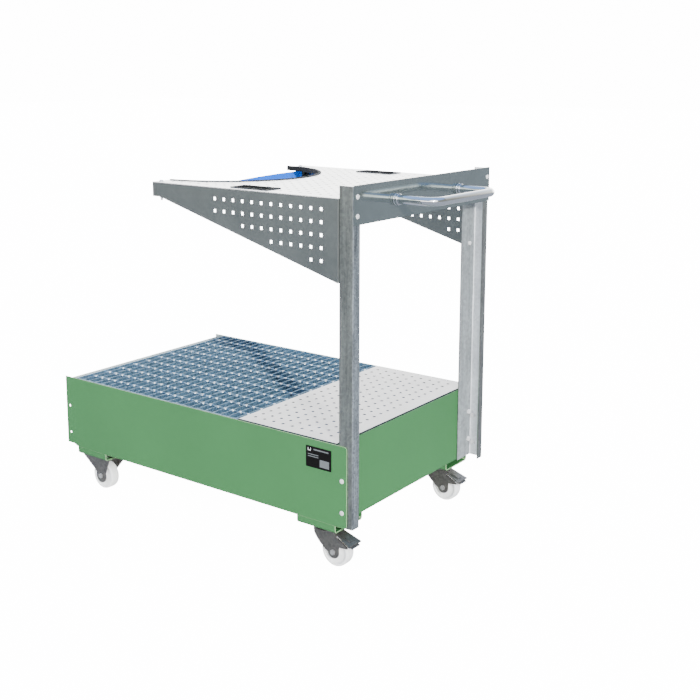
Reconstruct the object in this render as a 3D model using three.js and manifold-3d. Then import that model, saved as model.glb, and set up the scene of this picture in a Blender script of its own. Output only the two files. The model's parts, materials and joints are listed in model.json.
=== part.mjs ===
// A mobile spill sump for one 200 litre drum: a painted steel sump on castors, covered by a
// galvanised grating and a perforated deck plate, with a cantilevered perforated shelf that
// reaches over the grating on two posts, and a push handle behind it.
// Millimetres, +X towards the push handle, +Y to the far side, +Z up, castor wheels at Z = 0.
import * as THREE from "three";
import { mergeVertices } from "three/addons/utils/BufferGeometryUtils.js";
import Module from "manifold-3d";

const wasm = await Module();
wasm.setup();

// ---- driving dimensions ----
const GAP = 0.3; // between pieces that touch

const PANEL_LENGTH = 1263; // side panels, end to end
const BODY_LENGTH = 1194.6; // over the end walls
const WIDTH = 785; // over the side panels
const PANEL_HEIGHT = 255;
const SHEET = 3; // sump sheet
const FOOT_HEIGHT = 27; // channels between the sump and the castors
const FOOT_SHEET = 4;
const CASTOR_HEIGHT = 134;

const WHEEL_RADIUS = 50;
const WHEEL_WIDTH = 34;
const CASTOR_Y = 322;
const FIXED_CASTOR_X = -512;
const SWIVEL_X = 510;
const SWIVEL_TRAIL = 37;

const POST_FLANGE = 88; // along Y, against the end wall
const POST_WEB = 52.4; // along X
const POST_LIP = 33; // along Y, behind the apron
const POST_RISE = 769.8; // above the sump's rim
const POST_SHEET = 3;

const SHELF_RISE = 733.4; // shelf top above the sump's rim
const SHELF_SHEET = 2;
const SHELF_FRONT = -157.8;
const ARM_DEPTH = 47; // gusset depth at the front of the shelf
const GUSSET_DEPTH = 248; // gusset depth at the posts
const GUSSET_TAB = 32.4; // level stretch of the gusset's lower edge
const DRUM_X = -173; // centre of the drum cutout
const DRUM_RADIUS = 314.8;

const APRON_RISE = 772.8;
const APRON_HEIGHT = 114.5;
const HANDLE_RISE = 716; // handle axis above the sump's rim
const HANDLE_LEG_Y = 180;
const HANDLE_AXIS_X = 790; // axis of the crossbar
const HANDLE_DIAMETER = 27;
const HANDLE_BEND = 42;

const HOLE_PITCH = 38; // square perforation of the gussets
const HOLE_SIZE = 10;

// ---- places worked out from them ----
const FOOT_BOTTOM = CASTOR_HEIGHT;
const SUMP_BOTTOM = FOOT_BOTTOM + FOOT_HEIGHT;
const RIM = SUMP_BOTTOM + PANEL_HEIGHT;
const HALF_WIDTH = WIDTH / 2;
const PANEL_INNER = HALF_WIDTH - SHEET;
const INSIDE_Y = PANEL_INNER - GAP; // where everything between the panels ends
const HALF_BODY = BODY_LENGTH / 2;
const WALL_INNER = HALF_BODY - SHEET;
const POST_X = HALF_BODY + 0.5;
const POST_BACK = POST_X + POST_WEB;
const POST_TOP = RIM + POST_RISE;
const APRON_TOP = RIM + APRON_RISE;
const SHELF_TOP = RIM + SHELF_RISE;
const SHELF_REAR = POST_X - GAP;
const GUSSET_TOP = SHELF_TOP - SHELF_SHEET - GAP;
const ARM_BOTTOM = SHELF_TOP - ARM_DEPTH;
const APRON_X = POST_BACK + GAP;
const APRON_SHEET = 2;
const HANDLE_Z = RIM + HANDLE_RISE;
const HANDLE_END = HANDLE_AXIS_X + HANDLE_DIAMETER / 2;
const CENTRE_X = (HANDLE_END - PANEL_LENGTH / 2) / 2; // middle of the whole length

const COLOURS = {
  green: { color: 0x4f9a58, roughness: 0.45, metalness: 0.0 },
  galvanised: { color: 0x9aa6a8, roughness: 0.4, metalness: 0.8 },
  deck: { color: 0xd4d6d6, roughness: 0.5, metalness: 0.6 },
  zinc: { color: 0x8a8c8c, roughness: 0.35, metalness: 0.8 },
  bright: { color: 0xc8ccd0, roughness: 0.25, metalness: 0.9 },
  polyamide: { color: 0xe8e8e6, roughness: 0.5, metalness: 0.0 },
  rubber: { color: 0x1c1e1e, roughness: 0.8, metalness: 0.0 },
  strap: { color: 0x0a6ce8, roughness: 0.8, metalness: 0.0 },
  label: { color: 0x161616, roughness: 0.5, metalness: 0.0 },
};

const group = new THREE.Group();
group.position.x = -CENTRE_X;

function addPart(name, colour, geometry) {
  const mesh = new THREE.Mesh(geometry, new THREE.MeshStandardMaterial(COLOURS[colour]));
  mesh.name = name;
  group.add(mesh);
}

// ---- joining and cutting ----
function toSolid(geometry) {
  const bare = geometry.clone();
  bare.deleteAttribute("normal");
  bare.deleteAttribute("uv");
  const merged = mergeVertices(bare, 1e-4);
  return new wasm.Manifold(
    new wasm.Mesh({
      numProp: 3,
      vertProperties: new Float32Array(merged.attributes.position.array),
      triVerts: new Uint32Array(merged.index.array),
    }),
  );
}

function toGeometry(solid) {
  const mesh = solid.getMesh();
  const geometry = new THREE.BufferGeometry();
  geometry.setAttribute("position", new THREE.BufferAttribute(mesh.vertProperties, 3));
  geometry.setIndex(new THREE.BufferAttribute(mesh.triVerts, 1));
  geometry.computeVertexNormals();
  return geometry;
}

function join(...geometries) {
  return toGeometry(geometries.map(toSolid).reduce((all, next) => all.add(next)));
}

function cut(geometry, ...tools) {
  return toGeometry(tools.map(toSolid).reduce((rest, tool) => rest.subtract(tool), toSolid(geometry)));
}

// ---- plain shapes ----
function block(x0, x1, y0, y1, z0, z1) {
  const geometry = new THREE.BoxGeometry(x1 - x0, y1 - y0, z1 - z0);
  return geometry.translate((x0 + x1) / 2, (y0 + y1) / 2, (z0 + z1) / 2);
}

function shapeOf(points) {
  return new THREE.Shape(points.map(([a, b]) => new THREE.Vector2(a, b)));
}

// Outline in X and Z, thick along Y.
function extrudeY(shape, y0, y1, curveSegments = 6) {
  const geometry = new THREE.ExtrudeGeometry(shape, { depth: y1 - y0, bevelEnabled: false, curveSegments });
  return geometry.rotateX(Math.PI / 2).translate(0, y1, 0);
}

// Outline in Y and Z, long along X.
function extrudeX(shape, x0, x1, curveSegments = 6) {
  const geometry = new THREE.ExtrudeGeometry(shape, { depth: x1 - x0, bevelEnabled: false, curveSegments });
  const turn = new THREE.Matrix4().makeBasis(
    new THREE.Vector3(0, 1, 0),
    new THREE.Vector3(0, 0, 1),
    new THREE.Vector3(1, 0, 0),
  );
  return geometry.applyMatrix4(turn).translate(x0, 0, 0);
}

// Outline in X and Y, tall along Z.
function extrudeZ(shape, z0, z1, curveSegments = 6) {
  const geometry = new THREE.ExtrudeGeometry(shape, { depth: z1 - z0, bevelEnabled: false, curveSegments });
  return geometry.translate(0, 0, z0);
}

function rod(axis, radius, from, to, a, b, segments = 16) {
  const geometry = new THREE.CylinderGeometry(radius, radius, to - from, segments);
  const middle = (from + to) / 2;
  if (axis === "x") return geometry.rotateZ(Math.PI / 2).translate(middle, a, b);
  if (axis === "y") return geometry.translate(a, middle, b);
  return geometry.rotateX(Math.PI / 2).translate(a, b, middle);
}

// A folded sheet's section: its middle line with rounded bends, offset to both sides.
function foldedSection(line, thickness, bendRadius, bendSteps = 3) {
  const points = line.map(([a, b]) => new THREE.Vector2(a, b));
  const middle = [points[0]];
  for (let i = 1; i < points.length - 1; i++) {
    const before = points[i - 1].clone().sub(points[i]).normalize().multiplyScalar(bendRadius);
    const after = points[i + 1].clone().sub(points[i]).normalize().multiplyScalar(bendRadius);
    const start = points[i].clone().add(before);
    const end = points[i].clone().add(after);
    const centre = points[i].clone().add(before).add(after); // right-angled bends only
    for (let k = 0; k <= bendSteps; k++) {
      const angle = (Math.PI / 2) * (k / bendSteps);
      const fromStart = start.clone().sub(centre).multiplyScalar(Math.cos(angle));
      const fromEnd = end.clone().sub(centre).multiplyScalar(Math.sin(angle));
      middle.push(centre.clone().add(fromStart).add(fromEnd));
    }
  }
  middle.push(points[points.length - 1]);
  const left = [];
  const right = [];
  middle.forEach((point, i) => {
    const previous = middle[Math.max(i - 1, 0)];
    const next = middle[Math.min(i + 1, middle.length - 1)];
    const along = next.clone().sub(previous).normalize();
    const side = new THREE.Vector2(-along.y, along.x).multiplyScalar(thickness / 2);
    left.push(point.clone().add(side));
    right.push(point.clone().sub(side));
  });
  return new THREE.Shape([...left, ...right.reverse()]);
}

// ---- fasteners: a domed head, a shank and a hexagon nut, head towards +Z at Z = 0 ----
const SHANK_RADIUS = 4;
const HEAD_RADIUS = 8;
const HEAD_HEIGHT = 4.4;
const NUT_RADIUS = 7.5;
const NUT_HEIGHT = 6.4;
const BOLT_HOLE_RADIUS = 4.6;

function bolt(grip, spare) {
  const profile = [
    [0, HEAD_HEIGHT],
    [HEAD_RADIUS * 0.55, HEAD_HEIGHT * 0.86],
    [HEAD_RADIUS * 0.88, HEAD_HEIGHT * 0.5],
    [HEAD_RADIUS, GAP],
    [SHANK_RADIUS, GAP],
    [SHANK_RADIUS, -grip - NUT_HEIGHT - spare],
    [0, -grip - NUT_HEIGHT - spare],
  ].reverse();
  const lathe = new THREE.LatheGeometry(shapeOf(profile).getPoints(), 12).rotateX(Math.PI / 2);
  const nut = new THREE.CylinderGeometry(NUT_RADIUS, NUT_RADIUS, NUT_HEIGHT - GAP, 6);
  nut.rotateX(Math.PI / 2).translate(0, 0, -grip - NUT_HEIGHT / 2 - GAP / 2);
  return join(lathe, nut);
}

// ---- the sump ----
const PANEL_CORNER = 10;
const NOTCH_RISE = 7; // lower edge of the panel's front end above the sump's bottom
const PANEL_HOLES_X = PANEL_LENGTH / 2 - 17.5;
const PANEL_HOLES_Z = [RIM - 107.9, RIM - 207.5];

function sidePanel(side) {
  const end = PANEL_LENGTH / 2;
  const shape = new THREE.Shape();
  shape.moveTo(-end, RIM);
  shape.lineTo(-end, SUMP_BOTTOM + NOTCH_RISE);
  shape.lineTo(-HALF_BODY - 6, SUMP_BOTTOM + NOTCH_RISE);
  shape.quadraticCurveTo(-HALF_BODY + 4, SUMP_BOTTOM + NOTCH_RISE, -HALF_BODY + 16, SUMP_BOTTOM);
  shape.lineTo(end - PANEL_CORNER, SUMP_BOTTOM);
  shape.absarc(end - PANEL_CORNER, SUMP_BOTTOM + PANEL_CORNER, PANEL_CORNER, -Math.PI / 2, 0, false);
  shape.lineTo(end, RIM - PANEL_CORNER);
  shape.absarc(end - PANEL_CORNER, RIM - PANEL_CORNER, PANEL_CORNER, 0, Math.PI / 2, false);
  shape.closePath();
  for (const x of [-PANEL_HOLES_X, PANEL_HOLES_X]) {
    for (const z of PANEL_HOLES_Z) {
      const hole = new THREE.Path();
      hole.absarc(x, z, BOLT_HOLE_RADIUS, 0, 2 * Math.PI, true);
      shape.holes.push(hole);
    }
  }
  const [y0, y1] = side < 0 ? [-HALF_WIDTH, -PANEL_INNER] : [PANEL_INNER, HALF_WIDTH];
  return extrudeY(shape, y0, y1);
}

function sumpTub() {
  const half = SHEET / 2;
  const section = foldedSection(
    [
      [-HALF_BODY + half, RIM],
      [-HALF_BODY + half, SUMP_BOTTOM + half],
      [HALF_BODY - half, SUMP_BOTTOM + half],
      [HALF_BODY - half, RIM],
    ],
    SHEET,
    6,
  );
  return extrudeY(section, -INSIDE_Y, INSIDE_Y);
}

const FOOT_INNER_Y = 250;
const FOOT_LENGTH = 148;
const FRONT_FOOT_X = -507;
const REAR_FOOT_X = 513;

function footChannel(middleX, side) {
  const half = FOOT_SHEET / 2;
  const section = foldedSection(
    [
      [side * (PANEL_INNER - half), SUMP_BOTTOM - GAP],
      [side * (PANEL_INNER - half), FOOT_BOTTOM + half],
      [side * (FOOT_INNER_Y + half), FOOT_BOTTOM + half],
      [side * (FOOT_INNER_Y + half), SUMP_BOTTOM - GAP],
    ],
    FOOT_SHEET,
    7,
  );
  return extrudeX(section, middleX - FOOT_LENGTH / 2, middleX + FOOT_LENGTH / 2);
}

addPart("sump_tub", "green", sumpTub());
for (const [label, side] of [["near", -1], ["far", 1]]) {
  addPart("side_panel_" + label, "green", sidePanel(side));
  addPart("foot_channel_front_" + label, "green", footChannel(FRONT_FOOT_X, side));
  addPart("foot_channel_rear_" + label, "green", footChannel(REAR_FOOT_X, side));
}

// ---- what covers the sump: ledges, a cross beam, the grating and the deck plate ----
const COVER_DEPTH = 30;
const LEDGE_SIZE = 30;
const SEAM_X = 198.5;
const COVER_BOTTOM = RIM - COVER_DEPTH;
const LEDGE_TOP = COVER_BOTTOM - GAP;
const GRATING_FRONT = -577;
const COVER_Y = 387;
const BAR = 3;
const CROSS_BAR_DEPTH = 10;
const FIRST_BAR = 28.7; // from the frame's outer face to the first bearing bar
const BAR_PITCH = 33.33;
const BAR_STEP = 2; // every second bearing bar is built
const CROSS_BARS = 12; // spaces between the cross bars

function ledge(side) {
  const half = SHEET / 2;
  const outer = INSIDE_Y - half;
  const section = foldedSection(
    [
      [side * outer, LEDGE_TOP - LEDGE_SIZE],
      [side * outer, LEDGE_TOP - half],
      [side * (outer - LEDGE_SIZE), LEDGE_TOP - half],
    ],
    SHEET,
    3,
  );
  return extrudeX(section, -WALL_INNER + GAP, WALL_INNER - GAP);
}

function crossBeam() {
  const half = SHEET / 2;
  const reach = 20;
  const section = foldedSection(
    [
      [SEAM_X - reach, LEDGE_TOP - 25],
      [SEAM_X - reach, LEDGE_TOP - half],
      [SEAM_X + reach, LEDGE_TOP - half],
      [SEAM_X + reach, LEDGE_TOP - 25],
    ],
    SHEET,
    3,
  );
  const end = INSIDE_Y - SHEET / 2 - LEDGE_SIZE - GAP;
  return extrudeY(section, -end, end);
}

function grating() {
  const rear = SEAM_X - 1;
  const frame = cut(
    block(GRATING_FRONT, rear, -COVER_Y, COVER_Y, COVER_BOTTOM, RIM),
    block(GRATING_FRONT + BAR, rear - BAR, -COVER_Y + BAR, COVER_Y - BAR, COVER_BOTTOM - 1, RIM + 1),
  );
  const bars = [];
  for (let x = GRATING_FRONT + FIRST_BAR; x < rear - BAR_PITCH; x += BAR_STEP * BAR_PITCH) {
    bars.push(block(x - BAR / 2, x + BAR / 2, -COVER_Y + 1, COVER_Y - 1, COVER_BOTTOM + 1, RIM - 0.5));
  }
  for (let i = 1; i < CROSS_BARS; i++) {
    const y = -COVER_Y + (2 * COVER_Y * i) / CROSS_BARS;
    bars.push(block(GRATING_FRONT + 1, rear - 1, y - BAR / 2, y + BAR / 2, RIM - CROSS_BAR_DEPTH, RIM - 1));
  }
  return join(frame, ...bars);
}

const DECK_SHEET = 2;
const DECK_REAR = 589;
const DECK_NOTCH = 8;

function deckPlate() {
  const front = SEAM_X + 0.5;
  const top = RIM + DECK_SHEET;
  const plate = extrudeZ(
    shapeOf([
      [front + DECK_NOTCH, -COVER_Y],
      [DECK_REAR - DECK_NOTCH, -COVER_Y],
      [DECK_REAR - DECK_NOTCH, -COVER_Y + DECK_NOTCH],
      [DECK_REAR, -COVER_Y + DECK_NOTCH],
      [DECK_REAR, COVER_Y - DECK_NOTCH],
      [DECK_REAR - DECK_NOTCH, COVER_Y - DECK_NOTCH],
      [DECK_REAR - DECK_NOTCH, COVER_Y],
      [front + DECK_NOTCH, COVER_Y],
      [front + DECK_NOTCH, COVER_Y - DECK_NOTCH],
      [front, COVER_Y - DECK_NOTCH],
      [front, -COVER_Y + DECK_NOTCH],
      [front + DECK_NOTCH, -COVER_Y + DECK_NOTCH],
    ]),
    RIM,
    top,
  );
  const edgeY = COVER_Y - DECK_NOTCH;
  const edges = [
    block(front, front + DECK_SHEET, -edgeY, edgeY, COVER_BOTTOM, RIM + 1),
    block(DECK_REAR - DECK_SHEET, DECK_REAR, -edgeY, edgeY, COVER_BOTTOM, RIM + 1),
    block(front + DECK_NOTCH, DECK_REAR - DECK_NOTCH, -COVER_Y, -COVER_Y + DECK_SHEET, COVER_BOTTOM, RIM + 1),
    block(front + DECK_NOTCH, DECK_REAR - DECK_NOTCH, COVER_Y - DECK_SHEET, COVER_Y, COVER_BOTTOM, RIM + 1),
  ];
  return join(plate, ...edges);
}

addPart("ledge_near", "green", ledge(-1));
addPart("ledge_far", "green", ledge(1));
addPart("cross_beam", "green", crossBeam());
addPart("grating", "galvanised", grating());
addPart("deck_plate", "deck", deckPlate());

const PLATE_X = [479, 575];
const PLATE_Z = [RIM - 88.4, RIM - 22.4];
addPart(
  "rating_plate",
  "label",
  block(PLATE_X[0], PLATE_X[1], -HALF_WIDTH - 1.2, -HALF_WIDTH - GAP, PLATE_Z[0], PLATE_Z[1]),
);

// ---- posts, apron and push handle ----
const APRON_BOLT_Y = 373;
const APRON_BOLT_Z = [RIM + 684, RIM + 740];
const GUSSET_BOLT_Y = 350;
const GUSSET_BOLT_Z = [RIM + 511.6, RIM + 690];

// A lipped channel. Its flange stops at the shelf's level.
function post(side) {
  const half = POST_SHEET / 2;
  const outer = INSIDE_Y - half;
  const section = foldedSection(
    [
      [POST_X + half, side * (INSIDE_Y - POST_FLANGE)],
      [POST_X + half, side * outer],
      [POST_BACK - half, side * outer],
      [POST_BACK - half, side * (INSIDE_Y - POST_LIP)],
    ],
    POST_SHEET,
    4,
  );
  const holes = [];
  for (const z of PANEL_HOLES_Z) {
    holes.push(rod("y", BOLT_HOLE_RADIUS, side * outer - 5, side * outer + 5, PANEL_HOLES_X, z));
  }
  for (const z of APRON_BOLT_Z) {
    holes.push(rod("x", BOLT_HOLE_RADIUS, POST_BACK - 8, POST_BACK + 5, side * APRON_BOLT_Y, z));
  }
  for (const z of GUSSET_BOLT_Z) {
    holes.push(rod("x", BOLT_HOLE_RADIUS, POST_X - 5, POST_X + 8, side * GUSSET_BOLT_Y, z));
  }
  const stepFrom = side < 0 ? -INSIDE_Y + POST_SHEET + 4 : INSIDE_Y - POST_FLANGE - 5;
  const stepTo = side < 0 ? -INSIDE_Y + POST_FLANGE + 5 : INSIDE_Y - POST_SHEET - 4;
  const step = block(POST_X - 5, POST_X + 8, stepFrom, stepTo, SHELF_TOP, POST_TOP + 5);
  return cut(extrudeZ(section, SUMP_BOTTOM, POST_TOP), step, ...holes);
}

function apron() {
  const plate = block(
    APRON_X,
    APRON_X + APRON_SHEET,
    -INSIDE_Y,
    INSIDE_Y,
    APRON_TOP - APRON_HEIGHT,
    APRON_TOP,
  );
  const holes = [];
  for (const side of [-1, 1]) {
    for (const z of APRON_BOLT_Z) {
      holes.push(rod("x", BOLT_HOLE_RADIUS, APRON_X - 5, APRON_X + 5, side * APRON_BOLT_Y, z));
    }
  }
  return cut(plate, ...holes);
}

const HANDLE_START = APRON_X + APRON_SHEET + GAP;
const COLLAR_RADIUS = 18.5;
const COLLAR_NECK_RADIUS = 16.5;
const COLLAR_LENGTH = 15;

function pushHandle() {
  const path = new THREE.CurvePath();
  const bendX = HANDLE_AXIS_X - HANDLE_BEND;
  const bendY = HANDLE_LEG_Y - HANDLE_BEND;
  const at = (x, y) => new THREE.Vector3(x, y, HANDLE_Z);
  path.add(new THREE.LineCurve3(at(HANDLE_START, -HANDLE_LEG_Y), at(bendX, -HANDLE_LEG_Y)));
  path.add(bend(bendX, -bendY, -Math.PI / 2, 0));
  path.add(new THREE.LineCurve3(at(HANDLE_AXIS_X, -bendY), at(HANDLE_AXIS_X, bendY)));
  path.add(bend(bendX, bendY, 0, Math.PI / 2));
  path.add(new THREE.LineCurve3(at(bendX, HANDLE_LEG_Y), at(HANDLE_START, HANDLE_LEG_Y)));
  const circle = new THREE.Shape();
  circle.absarc(0, 0, HANDLE_DIAMETER / 2, 0, 2 * Math.PI, false);
  return new THREE.ExtrudeGeometry(circle, {
    extrudePath: path,
    steps: 34,
    curveSegments: 7,
    bevelEnabled: false,
  });
}

// A quarter bend of the handle in the plane of its axis.
function bend(centreX, centreY, from, to) {
  const curve = new THREE.Curve();
  curve.getPoint = (t, target = new THREE.Vector3()) => {
    const angle = from + (to - from) * t;
    const x = centreX + HANDLE_BEND * Math.cos(angle);
    const y = centreY + HANDLE_BEND * Math.sin(angle);
    return target.set(x, y, HANDLE_Z);
  };
  return curve;
}

function handleCollar(side) {
  const inner = HANDLE_DIAMETER / 2 + GAP;
  const profile = [
    [inner, 0],
    [COLLAR_RADIUS, 0],
    [COLLAR_RADIUS, COLLAR_LENGTH * 0.28],
    [COLLAR_NECK_RADIUS, COLLAR_LENGTH * 0.34],
    [COLLAR_NECK_RADIUS, COLLAR_LENGTH * 0.48],
    [COLLAR_RADIUS - 0.5, COLLAR_LENGTH * 0.54],
    [COLLAR_RADIUS - 0.5, COLLAR_LENGTH * 0.86],
    [COLLAR_NECK_RADIUS, COLLAR_LENGTH],
    [inner, COLLAR_LENGTH],
    [inner, 0],
  ].map(([r, h]) => new THREE.Vector2(r, h));
  const ring = new THREE.LatheGeometry(profile, 20);
  return ring.rotateZ(-Math.PI / 2).translate(HANDLE_START, side * HANDLE_LEG_Y, HANDLE_Z);
}

addPart("apron_plate", "galvanised", apron());
addPart("push_handle", "bright", pushHandle());
for (const [label, side] of [["near", -1], ["far", 1]]) {
  addPart("post_" + label, "galvanised", post(side));
  addPart("handle_collar_" + label, "bright", handleCollar(side));
}

// ---- the shelf: a plate with a drum cutout, a gusset under each side, and rubber edge trims ----
const CUTOUT_STEPS = 36;
const CUTOUT_HALF_ANGLE = Math.acos((SHELF_FRONT - DRUM_X) / DRUM_RADIUS);
const SLOT_X = [166, 302];
const SLOT_Y = [302, 360];
const REAR_FLANGE_Y = 328;
const GUSSET_FLANGE_Y = 330;
const REAR_FLANGE_DEPTH = 42;
const TAB_Y = 342; // inner edge of the gusset's front tab
const GUSSET_BEND = 4.5; // outer radius of the gusset's rear bend
const STRAP_BOLT_X = -147;
const STRAP_BOLT_Y = 360;

// Points of an arc round the drum's centre, from one angle to another.
function arcPoints(radius, from, to) {
  const points = [];
  for (let i = 0; i <= CUTOUT_STEPS; i++) {
    const angle = from + ((to - from) * i) / CUTOUT_STEPS;
    points.push([DRUM_X + radius * Math.cos(angle), radius * Math.sin(angle)]);
  }
  return points;
}

function shelfPlate() {
  const outline = shapeOf([
    [SHELF_FRONT, -INSIDE_Y],
    [SHELF_REAR, -INSIDE_Y],
    [SHELF_REAR, INSIDE_Y],
    [SHELF_FRONT, INSIDE_Y],
    ...arcPoints(DRUM_RADIUS, CUTOUT_HALF_ANGLE, -CUTOUT_HALF_ANGLE),
  ]);
  const plate = extrudeZ(outline, SHELF_TOP - SHELF_SHEET, SHELF_TOP);
  const rearFlange = block(
    SHELF_REAR - SHELF_SHEET,
    SHELF_REAR,
    -REAR_FLANGE_Y,
    REAR_FLANGE_Y,
    SHELF_TOP - REAR_FLANGE_DEPTH,
    SHELF_TOP - 1,
  );
  const tools = [];
  for (const side of [-1, 1]) {
    const [y0, y1] = slotY(side);
    tools.push(block(SLOT_X[0], SLOT_X[1], y0, y1, SHELF_TOP - 5, SHELF_TOP + 5));
    const boltY = side * STRAP_BOLT_Y;
    tools.push(rod("z", BOLT_HOLE_RADIUS, SHELF_TOP - 5, SHELF_TOP + 5, STRAP_BOLT_X, boltY));
  }
  return cut(join(plate, rearFlange), ...tools);
}

function slotY(side) {
  return side < 0 ? [-SLOT_Y[1], -SLOT_Y[0]] : [SLOT_Y[0], SLOT_Y[1]];
}

const HOLE_FIRST_X = 116.2;
const HOLE_FIRST_Z = RIM + 697.8;
// first and last column of holes in each row, from the top row down
const HOLE_ROWS = [[0, 11], [0, 11], [3, 11], [6, 11], [10, 11]];

function gusset(side) {
  const face = shapeOf([
    [SHELF_FRONT, GUSSET_TOP],
    [SHELF_FRONT, ARM_BOTTOM],
    [SHELF_FRONT + GUSSET_TAB, ARM_BOTTOM],
    [SHELF_REAR, SHELF_TOP - GUSSET_DEPTH],
    [SHELF_REAR, GUSSET_TOP],
  ]);
  const holes = [];
  HOLE_ROWS.forEach(([first, last], row) => {
    for (let column = first; column <= last; column++) {
      const x = HOLE_FIRST_X + column * HOLE_PITCH;
      const z = HOLE_FIRST_Z - row * HOLE_PITCH;
      const half = HOLE_SIZE / 2;
      holes.push(block(x - half, x + half, side * INSIDE_Y - 5, side * INSIDE_Y + 5, z - half, z + half));
    }
  });
  const inner = INSIDE_Y - SHELF_SHEET;
  const faceY = side < 0 ? [-INSIDE_Y, -inner] : [inner, INSIDE_Y];
  const flangeY = side < 0 ? [-inner - 1, -GUSSET_FLANGE_Y] : [GUSSET_FLANGE_Y, inner + 1];
  const tabY = side < 0 ? [-inner - 1, -TAB_Y] : [TAB_Y, inner + 1];
  const flange = block(
    SHELF_REAR - SHELF_SHEET,
    SHELF_REAR,
    flangeY[0],
    flangeY[1],
    SHELF_TOP - GUSSET_DEPTH + 2,
    GUSSET_TOP,
  );
  const tab = block(
    SHELF_FRONT,
    SHELF_FRONT + GUSSET_TAB,
    tabY[0],
    tabY[1],
    ARM_BOTTOM,
    ARM_BOTTOM + SHELF_SHEET,
  );
  const tipReturn = block(
    SHELF_FRONT,
    SHELF_FRONT + SHELF_SHEET,
    tabY[0],
    tabY[1],
    ARM_BOTTOM,
    GUSSET_TOP,
  );
  for (const z of GUSSET_BOLT_Z) {
    holes.push(rod("x", BOLT_HOLE_RADIUS, SHELF_REAR - 5, SHELF_REAR + 5, side * GUSSET_BOLT_Y, z));
  }
  const boltY = side * STRAP_BOLT_Y;
  holes.push(rod("z", BOLT_HOLE_RADIUS, ARM_BOTTOM - 5, ARM_BOTTOM + 5, STRAP_BOLT_X, boltY));
  const folded = cut(join(extrudeY(face, faceY[0], faceY[1]), flange, tab, tipReturn), ...holes);
  const bends = extrudeZ(gussetOutline(side), ARM_BOTTOM - GUSSET_DEPTH, SHELF_TOP + 5);
  return toGeometry(toSolid(folded).intersect(toSolid(bends)));
}

// The gusset's outline seen from above, with its rear bend rounded.
function gussetOutline(side) {
  const outline = new THREE.Shape();
  outline.moveTo(SHELF_FRONT - 5, side * (TAB_Y - 40));
  outline.lineTo(SHELF_FRONT - 5, side * INSIDE_Y);
  outline.lineTo(SHELF_REAR - GUSSET_BEND, side * INSIDE_Y);
  for (let i = 1; i <= 6; i++) {
    const angle = (Math.PI / 2) * (1 - i / 6);
    outline.lineTo(
      SHELF_REAR - GUSSET_BEND + GUSSET_BEND * Math.cos(angle),
      side * (INSIDE_Y - GUSSET_BEND + GUSSET_BEND * Math.sin(angle)),
    );
  }
  outline.lineTo(SHELF_REAR, side * (TAB_Y - 40));
  outline.closePath();
  return outline;
}

const TRIM_LIP = 6; // over the plate
const TRIM_WALL = 2.6; // in the opening
const TRIM_HEIGHT = 8;
const TRIM_BOTTOM = SHELF_TOP - SHELF_SHEET / 2 - TRIM_HEIGHT / 2;
const TRIM_GROOVE = [SHELF_TOP - SHELF_SHEET - GAP, SHELF_TOP + GAP];
const SLOT_TRIM_BOTTOM = SHELF_TOP - 13; // a deeper wall, to save the hands
const CUTOUT_TRIM_BOTTOM = SHELF_TOP - 14;
const TRIM_SHORT = 7; // how far the trim stops before the near arm's tip
const TRIM_SPARE = 16; // and how far it runs on past the far one

function arcBand(inner, outer, z0, z1) {
  const near = -CUTOUT_HALF_ANGLE + TRIM_SHORT / DRUM_RADIUS;
  const far = CUTOUT_HALF_ANGLE + TRIM_SPARE / DRUM_RADIUS;
  const outline = [...arcPoints(outer, near, far), ...arcPoints(inner, near, far).reverse()];
  return extrudeZ(shapeOf(outline), z0, z1);
}

function cutoutTrim() {
  return cut(
    arcBand(DRUM_RADIUS - TRIM_WALL, DRUM_RADIUS + TRIM_LIP, CUTOUT_TRIM_BOTTOM, TRIM_BOTTOM + TRIM_HEIGHT),
    arcBand(DRUM_RADIUS - GAP, DRUM_RADIUS + TRIM_LIP + 5, TRIM_GROOVE[0], TRIM_GROOVE[1]),
  );
}

function slotTrim(side) {
  const [y0, y1] = slotY(side);
  const grown = (by, z0, z1) => block(SLOT_X[0] - by, SLOT_X[1] + by, y0 - by, y1 + by, z0, z1);
  const ring = cut(
    grown(TRIM_LIP, SLOT_TRIM_BOTTOM, TRIM_BOTTOM + TRIM_HEIGHT),
    grown(-TRIM_WALL, SLOT_TRIM_BOTTOM - 1, TRIM_BOTTOM + TRIM_HEIGHT + 1),
  );
  const groove = cut(
    grown(TRIM_LIP + 5, TRIM_GROOVE[0], TRIM_GROOVE[1]),
    grown(-GAP, TRIM_GROOVE[0] - 1, TRIM_GROOVE[1] + 1),
  );
  return cut(ring, groove);
}

addPart("shelf_plate", "deck", shelfPlate());
addPart("cutout_trim", "rubber", cutoutTrim());
for (const [label, side] of [["near", -1], ["far", 1]]) {
  addPart("gusset_" + label, "galvanised", gusset(side));
  addPart("slot_trim_" + label, "rubber", slotTrim(side));
}

// ---- the lashing strap: looped round the two front bolts, with a buckle and a loose tail ----
const STRAP_WIDTH = 25;
const STRAP_THICK = 2;
const STRAP_TOP = RIM + 714.6;
const STRAP_SAG = 12;
const BUCKLE_Y = -30;
const BUCKLE_HALF = 24;
const LOOP_INNER = SHANK_RADIUS + GAP;
const LOOP_OUTER = LOOP_INNER + STRAP_THICK;
const STRAP_X = STRAP_BOLT_X - LOOP_OUTER; // the strap's front face
const BUCKLE_FRONT = STRAP_X - 9;
const TAIL_LENGTH = 151;

// Height of the strap's upper edge: level at the bolts, lowest at the buckle.
function strapTop(y) {
  const toBolt = y < BUCKLE_Y ? -STRAP_BOLT_Y : STRAP_BOLT_Y;
  const share = (toBolt - y) / (toBolt - BUCKLE_Y);
  return STRAP_TOP - STRAP_SAG * share ** 2;
}

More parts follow.
